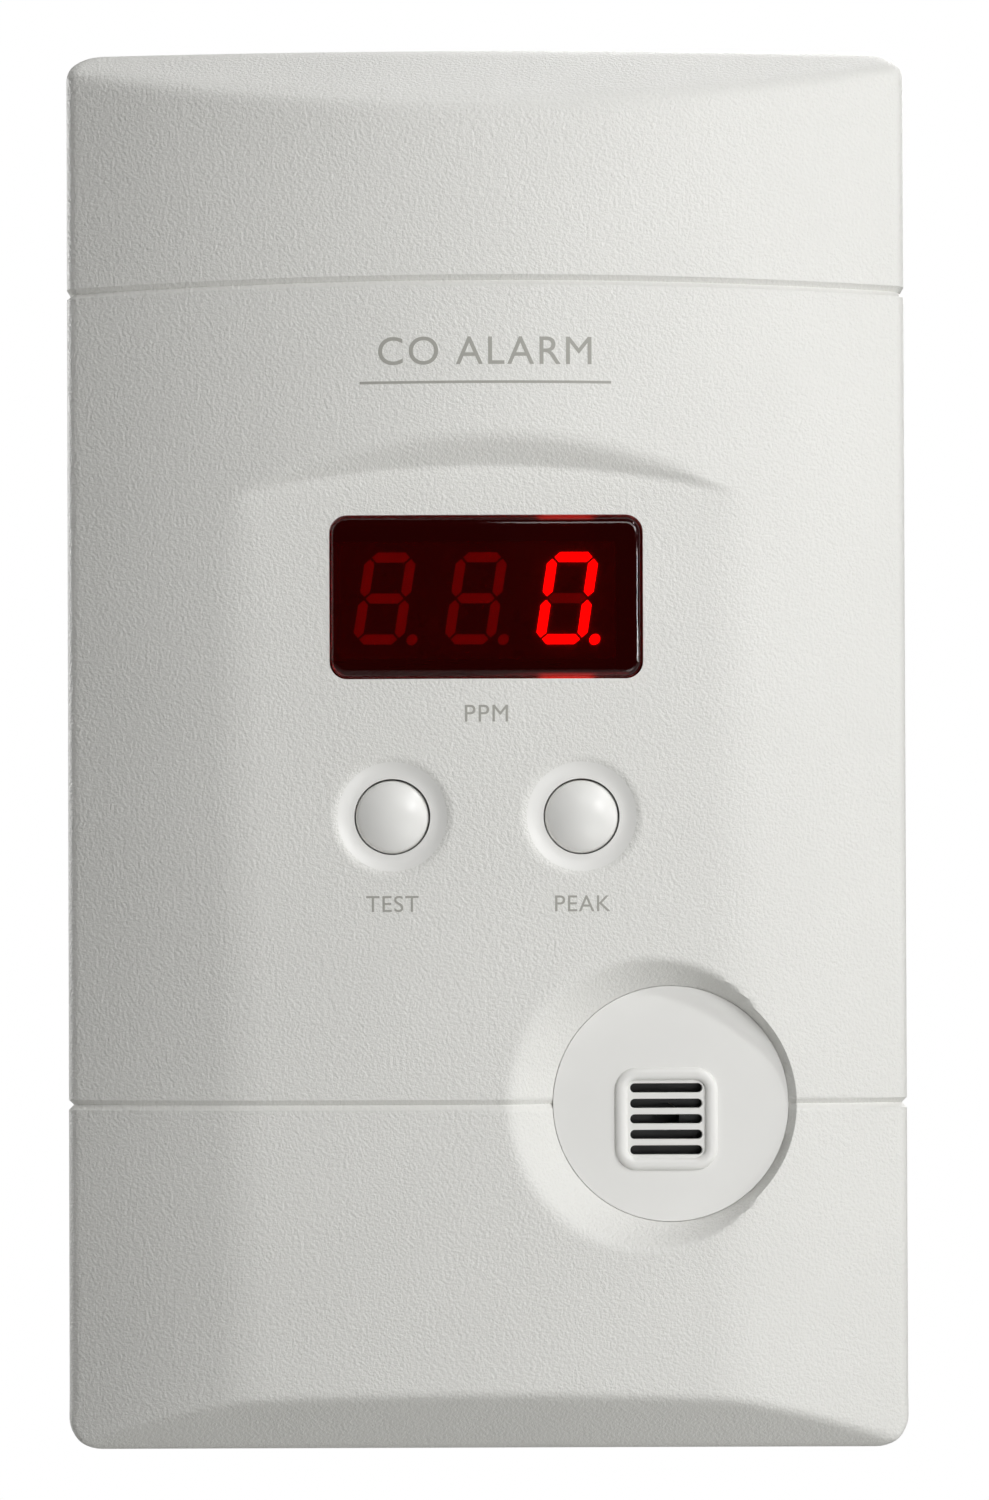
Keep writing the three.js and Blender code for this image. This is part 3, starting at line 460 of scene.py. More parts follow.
def square_to_disc(u, v):
    """Moves square rings round a centre onto circles of the same size."""
    size = np.maximum(np.abs(u), np.abs(v))
    safe = np.where(size == 0, 1, size)
    wide = np.abs(u) >= np.abs(v)
    wide_angle = math.pi / 4 * v / np.where(u == 0, 1, u)
    tall_angle = math.pi / 4 * u / np.where(v == 0, 1, v)
    angle = np.where(wide, wide_angle, tall_angle)
    cos, sin = np.cos(angle), np.sin(angle)
    x = np.where(wide, np.sign(u) * size * cos, np.sign(v) * size * sin)
    z = np.where(wide, np.sign(u) * size * sin, np.sign(v) * size * cos)
    return np.where(size == 0, 0, x), np.where(size == 0, 0, z), size / safe * size


def rounded_zone(x, z, cx, cz, full, reach, quadrant=None):
    """Bends grid lines near a centre so that their square rings become circles."""
    u, v = x - cx, z - cz
    disc_u, disc_v, size = square_to_disc(u, v)
    share = np.clip((reach - size) / (reach - full), 0, 1) if reach > full else (size <= full + 1e-6) * 1.0
    share = share * share * (3 - 2 * share)
    if quadrant:
        share = np.where((u * quadrant[0] >= 0) & (v * quadrant[1] >= 0), share, 0)
    return cx + u + (disc_u - u) * share, cz + v + (disc_v - v) * share


def front_grid():
    """Where the cover's grid points lie seen from the front, and which of them are inside a hole."""
    insets = [0, 0.05, 0.15, 0.3, 0.5, 0.75, 1.1, 1.5, CORNER]
    lens_half = (LENS["width"] / 2 + 0.2, LENS["height"] / 2 + 0.2)
    lens_corner = LENS["corner"] + 0.2
    x_stops = both_sides([WIDTH / 2 - d for d in insets] + [0, lens_half[0], lens_half[0] - lens_corner])
    z_stops = both_sides([HEIGHT / 2 - d for d in insets])
    z_stops += [LENS["z"] + s for s in both_sides([lens_half[1], lens_half[1] - lens_corner])]
    for radius in (0, BUTTON["hole"], DISH["floor"], DISH["smooth"], DISH["rim"], DISH_ZONE):
        x_stops += both_sides([BUTTON["x"] + radius, BUTTON["x"] - radius])
        z_stops += [BUTTON["z"] + radius, BUTTON["z"] - radius]
    for radius in (0, RECESS["radius"], RECESS_ZONE[1]):
        x_stops += [RECESS["x"] + radius, RECESS["x"] - radius]
        z_stops += [RECESS["z"] + radius, RECESS["z"] - radius]
    for place in GROOVES:
        z_stops += [place + s for s in both_sides([0, 0.18, 0.36, GROOVE_HALF, 0.66])]
    z_stops += [BROW_Z + s for s in (-0.45, -0.2, 0, 0.2, 0.45)]
    xs = filled_lines(x_stops, lambda x: 0.42 if abs(x) < 36 else 0.8)
    zs = filled_lines(z_stops, lambda z: 0.85 if 37 < z < 66 else 0.42)
    x, z = np.meshgrid(xs, zs, indexing="ij")
    hole = (np.abs(x) < lens_half[0] - 1e-4) & (np.abs(z - LENS["z"]) < lens_half[1] - 1e-4)
    for side in (-1, 1):
        size = np.maximum(np.abs(x - side * BUTTON["x"]), np.abs(z - BUTTON["z"]))
        hole |= size < BUTTON["hole"] - 1e-4
    hole |= np.maximum(np.abs(x - RECESS["x"]), np.abs(z - RECESS["z"])) < RECESS["radius"] - 1e-4
    # rows near the brow follow its arc
    follow = np.clip((z - 24.6) / 4.0, 0, 1) * np.clip((46.4 - z) / 12, 0, 1)
    z = z + (brow_arc(np.minimum(np.abs(x), 30)) - BROW_Z) * follow
    for side in (-1, 1):
        x, z = rounded_zone(x, z, side * BUTTON["x"], BUTTON["z"], DISH["rim"] + 0.1, DISH_ZONE)
        for up in (-1, 1):
            cx = side * (WIDTH / 2 - CORNER)
            cz = up * (HEIGHT / 2 - CORNER)
            x, z = rounded_zone(x, z, cx, cz, CORNER, CORNER, (side, up))
            cx = LENS["x"] + side * (lens_half[0] - lens_corner)
            cz = LENS["z"] + up * (lens_half[1] - lens_corner)
            x, z = rounded_zone(x, z, cx, cz, lens_corner, 1.9 * lens_corner, (side, up))
    x, z = rounded_zone(x, z, RECESS["x"], RECESS["z"], *RECESS_ZONE)
    return x, z, hole


def edge_share(place, limit, start):
    """Zero up to a start, then rising to one at a limit, on either side of the middle."""
    return np.clip((np.abs(place) - start) / (limit - start), 0, 1)


def front_shell():
    """The whole front cover: its outer surface, its inner skin, and the walls that join them."""
    x, z, hole_nodes = front_grid()
    inset = np.maximum(outline_distance(x, z), 0)
    depth = plain_front(x, z)
    depth = soft_min(depth, funnel_depth(x, z), BLENDS["recess"])
    depth = depth - groove_fall(z)
    depth = dish_depth(x, z, depth)
    # the outline's rounding gets smaller towards the bottom edge
    edge = EDGE - (EDGE - BOTTOM_EDGE) * np.clip((6 - HEIGHT / 2 - z) / 5, 0, 1)
    near_edge = np.clip(edge - inset, 0, edge)
    depth = depth - (edge - np.sqrt(np.maximum(edge**2 - near_edge**2, 0)))
    notch = groove_fall(z)
    side_share = np.clip((np.abs(x) - WIDTH / 2 + 6) / 6, 0, 1)
    bow = TOP_BOW * (2 * x / WIDTH) ** 2 * np.clip((z - 60) / (HEIGHT / 2 - 60), 0, 1)
    outer_x = x - np.sign(x) * notch * side_share
    outer_z = z - bow

    inner_x = x - np.sign(x) * WALL * edge_share(x, WIDTH / 2, 37)
    inner_z = z - np.sign(z) * WALL * edge_share(z, HEIGHT / 2, 64) - bow
    inner = plain_front(inner_x, inner_z) - WALL
    inner = np.minimum(inner, np.maximum(funnel_depth(x, z) - WALL, RECESS["floor"] - INSERT_THICKNESS))
    inner = np.minimum(inner, depth - THINNEST)

    columns, rows = x.shape
    index = np.arange(columns * rows).reshape(columns, rows)
    total = columns * rows
    points = list(zip(outer_x.ravel(), depth.ravel(), outer_z.ravel()))
    points += list(zip(inner_x.ravel(), inner.ravel(), inner_z.ravel()))
    kept = ~(hole_nodes[:-1, :-1] | hole_nodes[1:, :-1] | hole_nodes[:-1, 1:] | hole_nodes[1:, 1:])
    faces = []
    for i in range(columns - 1):
        for j in np.nonzero(kept[i])[0]:
            corners = (index[i, j], index[i + 1, j], index[i + 1, j + 1], index[i, j + 1])
            faces.append(tuple(int(c) for c in corners))
    outer_count = len(faces)
    faces += [tuple(c + total for c in face[::-1]) for face in faces]

    rim = [index[i, 0] for i in range(columns)] + [index[-1, j] for j in range(1, rows)]
    rim += [index[i, -1] for i in range(columns - 2, -1, -1)] + [index[0, j] for j in range(rows - 2, 0, -1)]
    rim = [int(i) for i in rim]
    outer_points = np.array(points[:total])
    inner_points = np.array(points[total:])
    back = []
    for share in (0.5, 1.0):
        start = len(points)
        for i in rim:
            px, front, pz = outer_points[i]
            points.append((px, front + (SPLIT - front) * share, pz))
        back.append(range(start, start + len(rim)))
    start = len(points)
    points += [(inner_points[i][0], SPLIT, inner_points[i][2]) for i in rim]
    inner_back = range(start, start + len(rim))
    chain = [rim, *back, inner_back, [i + total for i in rim]]
    for first, second in zip(chain, chain[1:]):
        for k in range(len(rim)):
            n = (k + 1) % len(rim)
            faces.append((first[k], first[n], second[n], second[k]))

    # hole walls: every kept outer edge that borders a hole is joined to the inner edge below it
    uses = {}
    for face in faces[:outer_count]:
        for a, b in zip(face, face[1:] + face[:1]):
            uses[frozenset((a, b))] = (a, b) if frozenset((a, b)) not in uses else None
    on_rim = set(rim)
    for edge in uses.values():
        if edge and not (edge[0] in on_rim and edge[1] in on_rim):
            a, b = edge
            faces.append((b, a, a + total, b + total))

    used = sorted({i for face in faces for i in face})
    renumber = {old: new for new, old in enumerate(used)}
    points = [points[i] for i in used]
    faces = [tuple(renumber[i] for i in face) for face in faces]
    mesh = mesh_from("front_shell", points, faces, MATERIALS["cover"], 40)
    mesh.materials.append(MATERIALS["smooth"])
    centres = np.zeros(len(mesh.polygons) * 3)
    mesh.polygons.foreach_get("center", centres)
    centres = centres.reshape(-1, 3) / MM
    marks = np.zeros(len(mesh.polygons), dtype=np.int32)
    for side in (-1, 1):
        r = np.hypot(centres[:, 0] - side * BUTTON["x"], centres[:, 2] - BUTTON["z"])
        marks[(r < DISH["smooth"]) & (centres[:, 1] < -36)] = 1
    mesh.polygons.foreach_set("material_index", marks)
    thin_inside(mesh)
    return new_object("front_shell", mesh, "housing", ["front_cover"])


def faces_back(face):
    return face.normal.y > 0.3


def thin_inside(mesh):
    """Merges the flat faces of the hidden inner skin."""
    bm = bmesh.new()
    bm.from_mesh(mesh)
    verts = [v for v in bm.verts if v.link_faces and all(faces_back(f) for f in v.link_faces)]
    edges = [e for e in bm.edges if e.link_faces and all(faces_back(f) for f in e.link_faces)]
    bmesh.ops.dissolve_limit(bm, angle_limit=math.radians(1.5), use_dissolve_boundaries=False,
                             verts=verts, edges=edges)
    bm.to_mesh(mesh)
    bm.free()


# ---- pieces that are refined copies of CAD nodes ---------------------------------------------------
def softened(node, material, body="housing", width=0.3, segments=2, angle=50):
    """A copy of a CAD node with rounded edges, which stands for the node."""
    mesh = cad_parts[node].data.copy()
    mesh.name = node + "_soft"
    mesh.materials.clear()
    mesh.materials.append(material)
    bm = bmesh.new()
    bm.from_mesh(mesh)
    bmesh.ops.remove_doubles(bm, verts=bm.verts, dist=1e-6)
    bmesh.ops.dissolve_limit(bm, angle_limit=math.radians(0.5), use_dissolve_boundaries=False,
                             verts=bm.verts, edges=bm.edges)
    for face in bm.faces:
        face.smooth = True
        face.material_index = 0
    bm.to_mesh(mesh)
    bm.free()
    piece = new_object(node + "_soft", mesh, body, [node])
    rounding = piece.modifiers.new("rounding", "BEVEL")
    rounding.width = width * MM
    rounding.segments = segments
    rounding.limit_method = "ANGLE"
    rounding.angle_limit = math.radians(angle)
    rounding.use_clamp_overlap = True
    rounding.harden_normals = False
    mesh.set_sharp_from_angle(angle=math.radians(180))
    normals = piece.modifiers.new("normals", "WEIGHTED_NORMAL")
    normals.keep_sharp = True
    return piece


# ---- pieces made new --------------------------------------------------------------------------------
def display_lens():
    """A window with rounded edges and a flange behind the cover."""
    rings = []
    for inset, drop in arc_profile(LENS["rounding"], 90, 0, 8):
        width, height = LENS["width"] - 2 * inset, LENS["height"] - 2 * inset
        corner = max(LENS["corner"] - inset, 0.5)
        rings.append(rounded_ring(LENS["x"], LENS["z"], width, height, corner, LENS["front"] - drop, 10))
    window = (LENS["width"], LENS["height"], LENS["corner"])
    rings.append(rounded_ring(LENS["x"], LENS["z"], *window, LENS["seat"], 10))
    flange = (LENS["width"] + 2 * LENS["flange"], LENS["height"] + 2 * LENS["flange"], LENS["corner"])
    for depth in (LENS["seat"], LENS["back"]):
        rings.append(rounded_ring(LENS["x"], LENS["z"], *flange, depth, 10))
    mesh = mesh_from("lens_window", *loft(rings), MATERIALS["lens"], 30)
    return new_object("lens_window", mesh, "housing", ["display_lens"])


SEGMENTS = {  # where each bar of a digit lies: centre (across, up) in half sizes, and whether it stands
    "a": (0, 1, False), "b": (1, 0.5, True), "c": (1, -0.5, True), "d": (0, -1, False),
    "e": (-1, -0.5, True), "f": (-1, 0.5, True), "g": (0, 0, False),
}
DIGIT = {"width": 5.5, "height": 9.9, "bar": 1.06, "gap": 0.19, "pitch": 9.86, "slant": math.radians(8.9)}
DISPLAY_CENTRE = (-1.1, 15.54)
DOT = {"x": 3.65, "z": -4.45, "radius": 0.58}
LIT_FRONT = 34.08
UNLIT_FRONT = 34.05
BAR_THICKNESS = 0.15


def bar_outline(across, up, standing):
    half_width = (DIGIT["width"] - DIGIT["bar"]) / 2
    half_height = (DIGIT["height"] - DIGIT["bar"]) / 2
    reach = (half_height / 2 if standing else half_width) - DIGIT["gap"]
    half = DIGIT["bar"] / 2
    outline = [(-reach, 0), (half - reach, half), (reach - half, half), (reach, 0), (reach - half, -half),
               (half - reach, -half)]
    if standing:
        outline = [(-v, u) for u, v in outline]
    return [(u + across * half_width, v + up * half_height) for u, v in outline]


def slanted(points, digit):
    cx, cz = DISPLAY_CENTRE
    cx += (digit - 1) * DIGIT["pitch"]
    return [(cx + u + v * math.tan(DIGIT["slant"]), cz + v) for u, v in points]


def segment_plates(name, outlines, material, front):
    points, faces = [], []
    for outline in outlines:
        rings = [[(x, depth, z) for x, z in outline] for depth in (front, front - BAR_THICKNESS)]
        part_points, part_faces = loft(rings)
        offset = len(points)
        points += part_points
        faces += [tuple(i + offset for i in face) for face in part_faces]
    mesh = mesh_from(name, points, faces, MATERIALS[material], 30)
    return new_object(name, mesh, "housing")


def display_digits():
    lit, unlit = [], []
    dot = circle(DOT["x"], DOT["z"], DOT["radius"], 20)
    for digit in range(3):
        for letter, place in SEGMENTS.items():
            on = digit == 2 and letter != "g"
            (lit if on else unlit).append(slanted(bar_outline(*place), digit))
        (lit if digit == 2 else unlit).append(slanted(dot, digit))
    segment_plates("segments_lit", lit, "lit", LIT_FRONT)
    # the unlit bars carry the faint painted glow of their material
    segment_plates("segments_unlit", unlit, "unlit", UNLIT_FRONT)


def button_cap(name, side, body):
    radius, front = BUTTON["radius"], BUTTON["front"]
    sphere = (radius**2 + CAP_RISE**2) / (2 * CAP_RISE)
    radii = (0.02, 0.5, 1, 1.5, 2, 2.5, 3, 3.4, 3.65)
    dome = [(r, front - sphere + math.sqrt(sphere**2 - r**2)) for r in radii]
    edge_start = dome[-1][1]
    edge = [(3.8, edge_start - 0.12), (3.9, edge_start - 0.28), (radius, edge_start - 0.5)]
    flange, stem = CAP_FLANGE["radius"], CAP_STEM["radius"]
    rest = [(radius, CAP_FLANGE["front"]), (flange, CAP_FLANGE["front"]), (flange, CAP_FLANGE["back"]),
            (stem, CAP_FLANGE["back"]), (stem, CAP_STEM["end"]), (0.02, CAP_STEM["end"])]
    rings = turned(side * BUTTON["x"], BUTTON["z"], dome + edge + rest, 72)
    mesh = mesh_from(name + "_cap", *loft(rings), MATERIALS["smooth"], 30)
    return new_object(name + "_cap", mesh, body, [name])


def flat_plate(name, outlines, front, thickness, rounding, material):
    """A plate with holes, rounded along every edge. Outlines are loops of (x, z) in millimetres."""
    curve = bpy.data.curves.new(name, "CURVE")
    curve.dimensions = "2D"
    curve.fill_mode = "BOTH"
    curve.extrude = (thickness / 2 - rounding) * MM
    curve.bevel_depth = rounding * MM
    curve.offset = -rounding * MM
    curve.bevel_resolution = 2
    for outline in outlines:
        spline = curve.splines.new("POLY")
        spline.points.add(len(outline) - 1)
        for point, (x, z) in zip(spline.points, outline):
            point.co = (x * MM, z * MM, 0, 1)
        spline.use_cyclic_u = True
    holder = bpy.data.objects.new(name + "_curve", curve)
    bpy.context.scene.collection.objects.link(holder)
    bpy.context.view_layer.update()
    mesh = bpy.data.meshes.new_from_object(holder.evaluated_get(bpy.context.evaluated_depsgraph_get()))
    bpy.data.objects.remove(holder)
    upright = Matrix.Rotation(math.pi / 2, 4, "X")
    mesh.transform(Matrix.Translation((0, -(front - thickness / 2) * MM, 0)) @ upright)
    bm = bmesh.new()
    bm.from_mesh(mesh)
    bmesh.ops.remove_doubles(bm, verts=bm.verts, dist=1e-7)
    bmesh.ops.recalc_face_normals(bm, faces=bm.faces)
    bm.to_mesh(mesh)
    bm.free()
    mesh.materials.clear()
    mesh.materials.append(material)
    smooth_by_angle(mesh, 32)
    for face in mesh.polygons:
        if abs(face.normal.y) > 0.999:
            face.use_smooth = False
    return mesh


def circle(x, z, radius, sides=96):
    turns = [2 * math.pi * i / sides for i in range(sides)]
    return [(x + radius * math.cos(a), z + radius * math.sin(a)) for a in turns]


def rounded_outline(x, z, width, height, corner, steps=8):
    return [(px, pz) for px, _, pz in rounded_ring(x, z, width, height, corner, 0, steps)]


def vent_insert():
    size, slots = SOUND_BLOCK["size"], SOUND_BLOCK["slots"]
    pitch = size / slots
    x, z = SOUND_BLOCK["x"], SOUND_BLOCK["z"]
    openings = [rounded_outline(x, z + (i - (slots - 1) / 2) * pitch, size - 0.6, pitch * 0.6, pitch * 0.29)
                for i in range(slots)]
    floor, radius = RECESS["floor"], RECESS["radius"] - 0.04
    rim = circle(RECESS["x"], RECESS["z"], radius, 128)
    plate = flat_plate("vent_plate", [rim, *openings], floor, INSERT_THICKNESS, 0.06, MATERIALS["smooth"])
    new_object("vent_plate", plate, "housing", ["vent_grille"])

    flange = radius + 1.6
    inside = radius - 1.2
    skirt = [(radius, floor - 1.5), (radius, floor - 1.9), (flange, floor - 1.9), (flange, floor - 3.1),
             (inside, floor - 3.1), (inside, floor - 1.5)]
    closed_band("vent_skirt", turned(RECESS["x"], RECESS["z"], skirt + skirt[:1], 96), 30)

    half, rise = BEAD["half"], BEAD["rise"]
    profile = [(-half, floor - 0.2)]
    for step in range(9):
        a = math.pi * step / 8
        profile.append((-half * math.cos(a), floor + rise * math.sin(a)))
    profile.append((half, floor - 0.2))
    rings = []
    for out, depth in profile + profile[:1]:
        side = size + 2 * (half + out)
        rings.append(rounded_ring(x, z, side, side, BEAD["corner"] + out, depth, 8))
    closed_band("vent_bead", rings, 40)


def closed_band(name, rings, smooth_angle):
    """A smooth plastic band whose last ring meets its first."""
    mesh = mesh_from(name, *loft(rings, False, False), MATERIALS["smooth"], smooth_angle)
    weld(mesh)
    new_object(name, mesh, "housing")


def port_screen():
    """A thin black disc inside the sounder's port."""
    radius, front, back = SOUND_PORT["screen"], SOUND_PORT["front"], SOUND_PORT["back"]
    profile = [(0.02, front), (radius, front), (radius, back), (0.02, back)]
    rings = turned(SOUND_PORT["x"], SOUND_PORT["z"], profile, 32)
    mesh = mesh_from("port_screen", *loft(rings), MATERIALS["black"], 30)
    new_object("port_screen", mesh, "housing")


def weld(mesh):
    bm = bmesh.new()
    bm.from_mesh(mesh)
    bmesh.ops.remove_doubles(bm, verts=bm.verts, dist=1e-7)
    bmesh.ops.recalc_face_normals(bm, faces=bm.faces)
    bm.to_mesh(mesh)
    bm.free()


def legend(name, text, x, z, height, spread=1.0):
    """Printed lettering that lies on the front surface. Height is that of a capital."""
    curve = bpy.data.curves.new(name, "FONT")
    curve.body = text
    curve.align_x = "CENTER"
    curve.align_y = "CENTER"
    curve.size = 1.0
    curve.extrude = 0.01
    curve.space_character = spread
    holder = bpy.data.objects.new(name + "_curve", curve)
    bpy.context.scene.collection.objects.link(holder)
    bpy.context.view_layer.update()
    mesh = bpy.data.meshes.new_from_object(holder.evaluated_get(bpy.context.evaluated_depsgraph_get()))
    bpy.data.objects.remove(holder)
    place_ink(mesh, x, z, height / CAPITAL_HEIGHT)
    mesh.materials.clear()
    mesh.materials.append(MATERIALS["ink"])
    return new_object(name, mesh, "housing")


def place_ink(mesh, x, z, scale):
    """Lays a flat unit mesh on the front surface, as a film that stands 0.02 mm proud."""
    flat = np.zeros(len(mesh.vertices) * 3)
    mesh.vertices.foreach_get("co", flat)
    flat = flat.reshape(-1, 3)
    px, pz = x + flat[:, 0] * scale, z + flat[:, 1] * scale
    lift = np.where(flat[:, 2] > 0, INK, -0.05)
    placed = np.stack([px, -(plain_front(px, pz) + lift), pz], axis=1) * MM
    mesh.vertices.foreach_set("co", placed.ravel())
    mesh.update()


def ink_rule(name, x, z, width, height):
    steps = 40
    columns = [(-width / 2 + width * i / steps) for i in range(steps + 1)]
    points = [(u, v, w) for u in columns for v in (-height / 2, height / 2) for w in (-1, 1)]
    faces = [(0, 1, 3, 2)]
    for i in range(steps):
        a, b = 4 * i, 4 * i + 4
        for u, v in ((0, 1), (1, 3), (3, 2), (2, 0)):
            faces.append((a + u, b + u, b + v, a + v))
    faces.append((4 * steps, 4 * steps + 2, 4 * steps + 3, 4 * steps + 1))
    mesh = bpy.data.meshes.new(name)
    mesh.from_pydata(points, [], faces)
    place_ink(mesh, x, z, 1.0)
    tidy_normals(mesh)
    mesh.materials.append(MATERIALS["ink"])
    return new_object(name, mesh, "housing")


def legends():
    legend("legend_name", "CO ALARM", 0, 41.5, height=3.1, spread=1.12)
    ink_rule("legend_rule", 0, 38.3, width=27.0, height=0.28)
    legend("legend_unit", "PPM", 0, 2.8, height=1.9, spread=1.1)
    legend("legend_test", "TEST", -BUTTON["x"], -17.7, height=1.8, spread=1.08)
    legend("legend_peak", "PEAK", BUTTON["x"], -17.7, height=1.8, spread=1.08)


def screw_mesh(name, head, shank, start, head_height, tip):
    """A screw along an axis square to the wall. Head and shank are radii, start and tip are depths."""
    profile = [(0.02, start), (head - 0.9, start + 0.05), (head - 0.35, start + 0.3), (head, start + 0.85),
               (head, start + head_height), (shank, start + head_height), (shank, tip - 1), (0.02, tip)]
    return mesh_from(name, *loft(turned(0, 0, profile, 48)), MATERIALS["steel"], 30)


def cross_recess(start):
    cutters = []
    for width, height in ((3.0, 0.62), (0.62, 3.0)):
        rings = [rounded_ring(0, 0, width, height, 0.1, depth, 2) for depth in (start - 1, start + 1.1)]
        mesh = mesh_from("cutter", *loft(rings), MATERIALS["steel"])
        cutter = bpy.data.objects.new("cutter", mesh)
        bpy.context.scene.collection.objects.link(cutter)
        cutters.append(cutter)
    return cutters


def screws(prefix, count, size):
    mesh = screw_mesh(prefix, **size)
    holder = bpy.data.objects.new(prefix + "_holder", mesh)
    bpy.context.scene.collection.objects.link(holder)
    cutters = cross_recess(size["start"])
    for cutter in cutters:
        cut = holder.modifiers.new("recess", "BOOLEAN")
        cut.operation = "DIFFERENCE"
        cut.solver = "EXACT"
        cut.object = cutter
    bpy.context.view_layer.update()
    shaped = bpy.data.meshes.new_from_object(holder.evaluated_get(bpy.context.evaluated_depsgraph_get()))
    for item in (holder, *cutters):
        bpy.data.objects.remove(item)
    smooth_by_angle(shaped, 30)
    for number in range(1, count + 1):
        node = f"{prefix}_{number}"
        low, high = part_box(node)
        copy = shaped.copy()
        copy.transform(Matrix.Translation(((low.x + high.x) / 2, 0, (low.z + high.z) / 2)))
        new_object(node + "_turned", copy, "housing", [node])


# ---- assembly -----------------------------------------------------------------------------------------
front_shell()
display_lens()
display_digits()
button_cap("test_button", -1, "test_button")
button_cap("peak_button", 1, "peak_button")
vent_insert()
port_screen()
legends()
screws("case_screw", 4, CASE_SCREW)
screws("pcb_screw", 2, PCB_SCREW)

softened("rear_cover", MATERIALS["cover"], width=0.35)
softened("battery_door", MATERIALS["cover"], "battery_door", 0.25)
softened("adapter_case", MATERIALS["cover"], "adapter", 0.4)
softened("adapter_lid", MATERIALS["cover"], "adapter", 0.3)
for side in ("left", "right"):
    softened("blade_" + side, MATERIALS["blade"], "adapter", 0.22, 3)
softened("rating_plate", MATERIALS["foil"], width=0.08)
softened("display_module", MATERIALS["display"], width=0.2)
softened("display_holder", MATERIALS["smooth"], width=0.15)
softened("battery_case", MATERIALS["jacket"], width=0.5, segments=3)

PLAIN_NODES = {
    "black": ["test_switch_plunger", "peak_switch_plunger", "test_switch", "peak_switch", "sounder_body",
              "sounder_cap", "microcontroller", "battery_top", "battery_snap", "battery_lead_black"],
    "steel": ["co_sensor_can", "battery_stud_positive", "battery_stud_negative", "battery_door_pin"],
    "brass": ["piezo_disc"],
    "foam": ["sounder_gasket"],
    "smooth": ["co_sensor_cap"],
    "board": ["main_pcb"],
    "sleeve": ["capacitor_1", "capacitor_2"],
    "red": ["battery_lead_red"],
    "core": ["transformer_core"],
    "copper": ["transformer_coil"],
    "rubber": ["power_lead_gland"],
}
for material_name, names in PLAIN_NODES.items():
    for name in names:
        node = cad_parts[name]
        node.data.materials.clear()
        node.data.materials.append(MATERIALS[material_name])


# ---- stage, light and camera --------------------------------------------------------------------------
def camera_only_white(tree, output, surface_node, surface_socket, white_strength):
    """White to the camera, and a plain surface to everything else."""
    path = tree.nodes.new("ShaderNodeLightPath")
    white = tree.nodes.new("ShaderNodeEmission" if output.bl_idname == "ShaderNodeOutputMaterial"
                           else "ShaderNodeBackground")
    white.inputs["Color"].default_value = (1, 1, 1, 1)
    white.inputs["Strength"].default_value = white_strength
    mix = tree.nodes.new("ShaderNodeMixShader")
    link(tree, path, "Is Camera Ray", mix, "Fac")
    tree.links.new(surface_node.outputs[surface_socket], mix.inputs[1])
    tree.links.new(white.outputs[0], mix.inputs[2])
    tree.links.new(mix.outputs[0], output.inputs["Surface"])


def make_world():
    world = bpy.data.worlds.new("studio")
    bpy.context.scene.world = world
    world.use_nodes = True
    tree = world.node_tree
    background = tree.nodes["Background"]
    background.inputs["Color"].default_value = (1, 1, 1, 1)
    background.inputs["Strength"].default_value = AMBIENT
    camera_only_white(tree, tree.nodes["World Output"], background, "Background", 1.0)


def make_floor():
    low, _ = CAD_BOX
    bpy.ops.mesh.primitive_plane_add(size=3, location=(0, 0, low.z - FLOOR_DROP))
    floor = bpy.context.object
    floor.name = "floor"
    material, tree, shader = node_material("floor")
    shader.inputs["Base Color"].default_value = (0.4, 0.4, 0.39, 1)
    shader.inputs["Roughness"].default_value = 0.8
    camera_only_white(tree, tree.nodes["Material Output"], shader, "BSDF", 1.0)
    floor.data.materials.append(material)


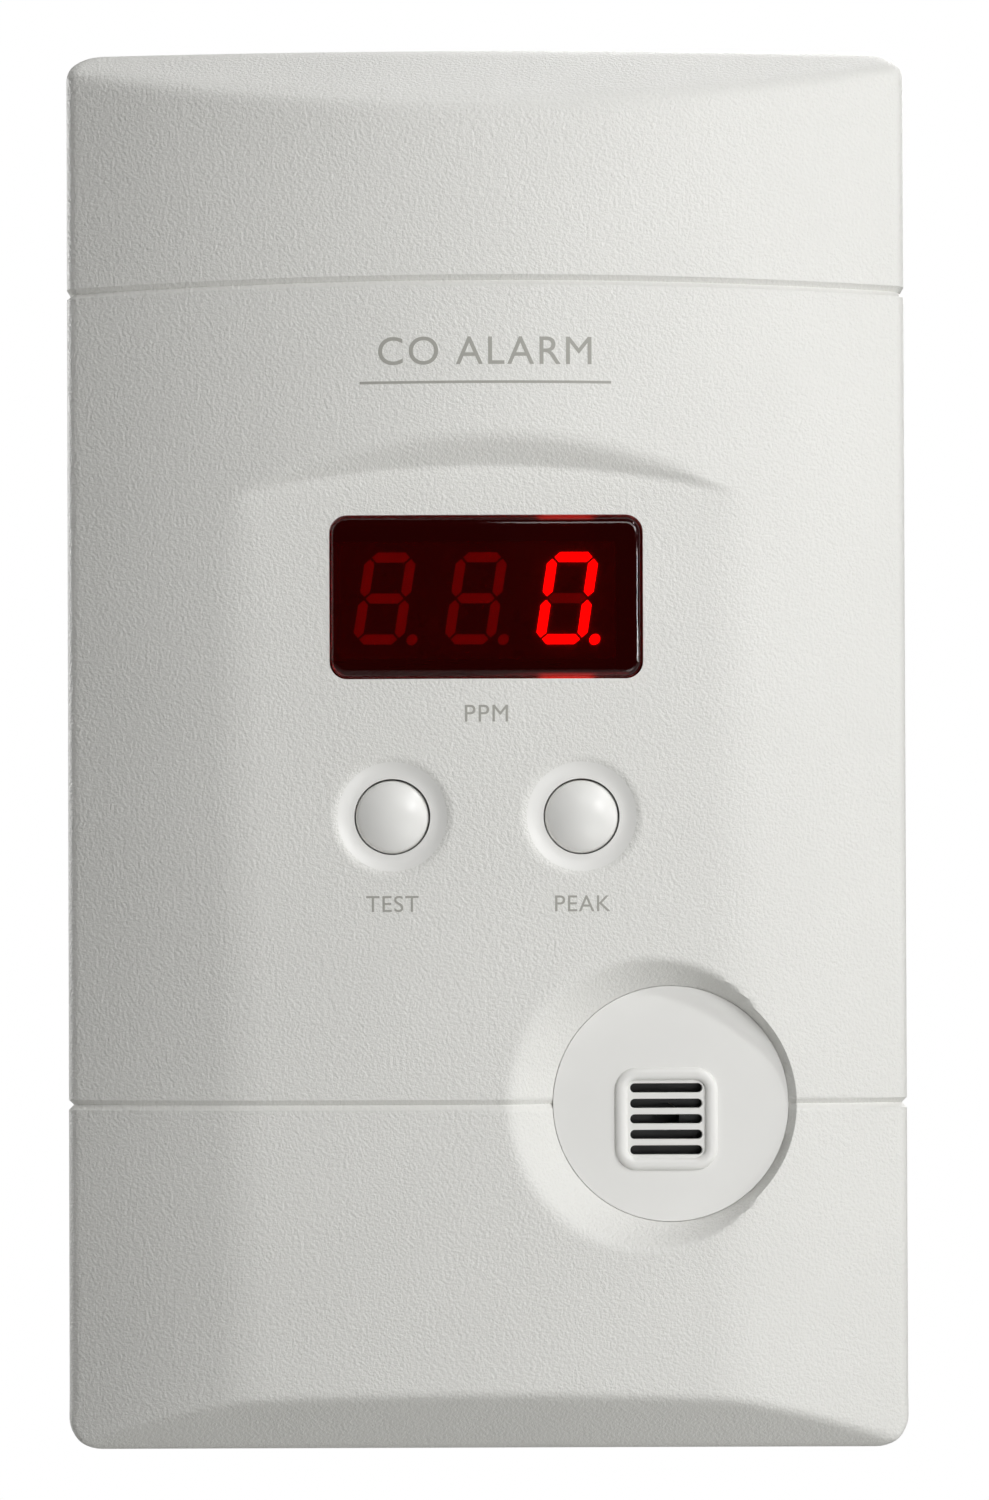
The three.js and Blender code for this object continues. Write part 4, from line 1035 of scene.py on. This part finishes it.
def softbox(name, azimuth, elevation, distance, size, power):
    """An area light placed round the middle of the front, aimed at the origin."""
    data = bpy.data.lights.new(name, "AREA")
    data.shape = "RECTANGLE"
    data.size, data.size_y = size
    data.energy = power
    light = bpy.data.objects.new(name, data)
    across, up = math.radians(azimuth), math.radians(elevation)
    reach = Vector((math.sin(across) * math.cos(up), -math.cos(across) * math.cos(up), math.sin(up)))
    light.location = Vector((0, -RIM * MM, 0)) + distance * reach
    light.rotation_euler = (-light.location).to_track_quat("-Z", "Y").to_euler()
    bpy.context.scene.collection.objects.link(light)


AMBIENT = 0.01
FLOOR_DROP = 0.06  # metres below the part, which hangs on a wall
make_world()
make_floor()
softbox("key", azimuth=50, elevation=40, distance=1.2, size=(0.1, 0.1), power=3.5)
softbox("near_high", azimuth=14, elevation=30, distance=0.2, size=(0.08, 0.06), power=0.06)
softbox("near_low", azimuth=22, elevation=-24, distance=0.2, size=(0.08, 0.05), power=0.054)
softbox("front", azimuth=34, elevation=19, distance=0.5, size=(0.14, 0.14), power=0.74)
softbox("right_front", azimuth=55, elevation=6, distance=1.2, size=(0.16, 0.12), power=1.4)
softbox("right", azimuth=70, elevation=2, distance=1.2, size=(0.16, 0.12), power=0.95)
softbox("top_left", azimuth=-40, elevation=100, distance=0.25, size=(0.1, 0.1), power=0.065)
softbox("top_right", azimuth=80, elevation=100, distance=0.25, size=(0.1, 0.1), power=0.05)
softbox("rim", azimuth=-120, elevation=10, distance=0.8, size=(0.25, 0.25), power=3.5)
softbox("back", azimuth=160, elevation=30, distance=1.0, size=(0.6, 0.6), power=7.0)

EYE = Vector((0, -(RIM + 434.0), -28.5)) * MM
TILT = 0.54  # degrees up
ROLL = 0.2  # degrees clockwise
SENSOR = 36.0
data = bpy.data.cameras.new("camera")
data.sensor_width = SENSOR
data.lens = 95.5
data.shift_x = 0.0047
data.shift_y = 0.145
camera = bpy.data.objects.new("camera", data)
camera.location = EYE
turn = Matrix.Rotation(math.radians(90 + TILT), 4, "X") @ Matrix.Rotation(math.radians(-ROLL), 4, "Z")
camera.rotation_euler = turn.to_euler()
bpy.context.scene.collection.objects.link(camera)
bpy.context.scene.camera = camera
bpy.context.scene.view_settings.view_transform = "Standard"
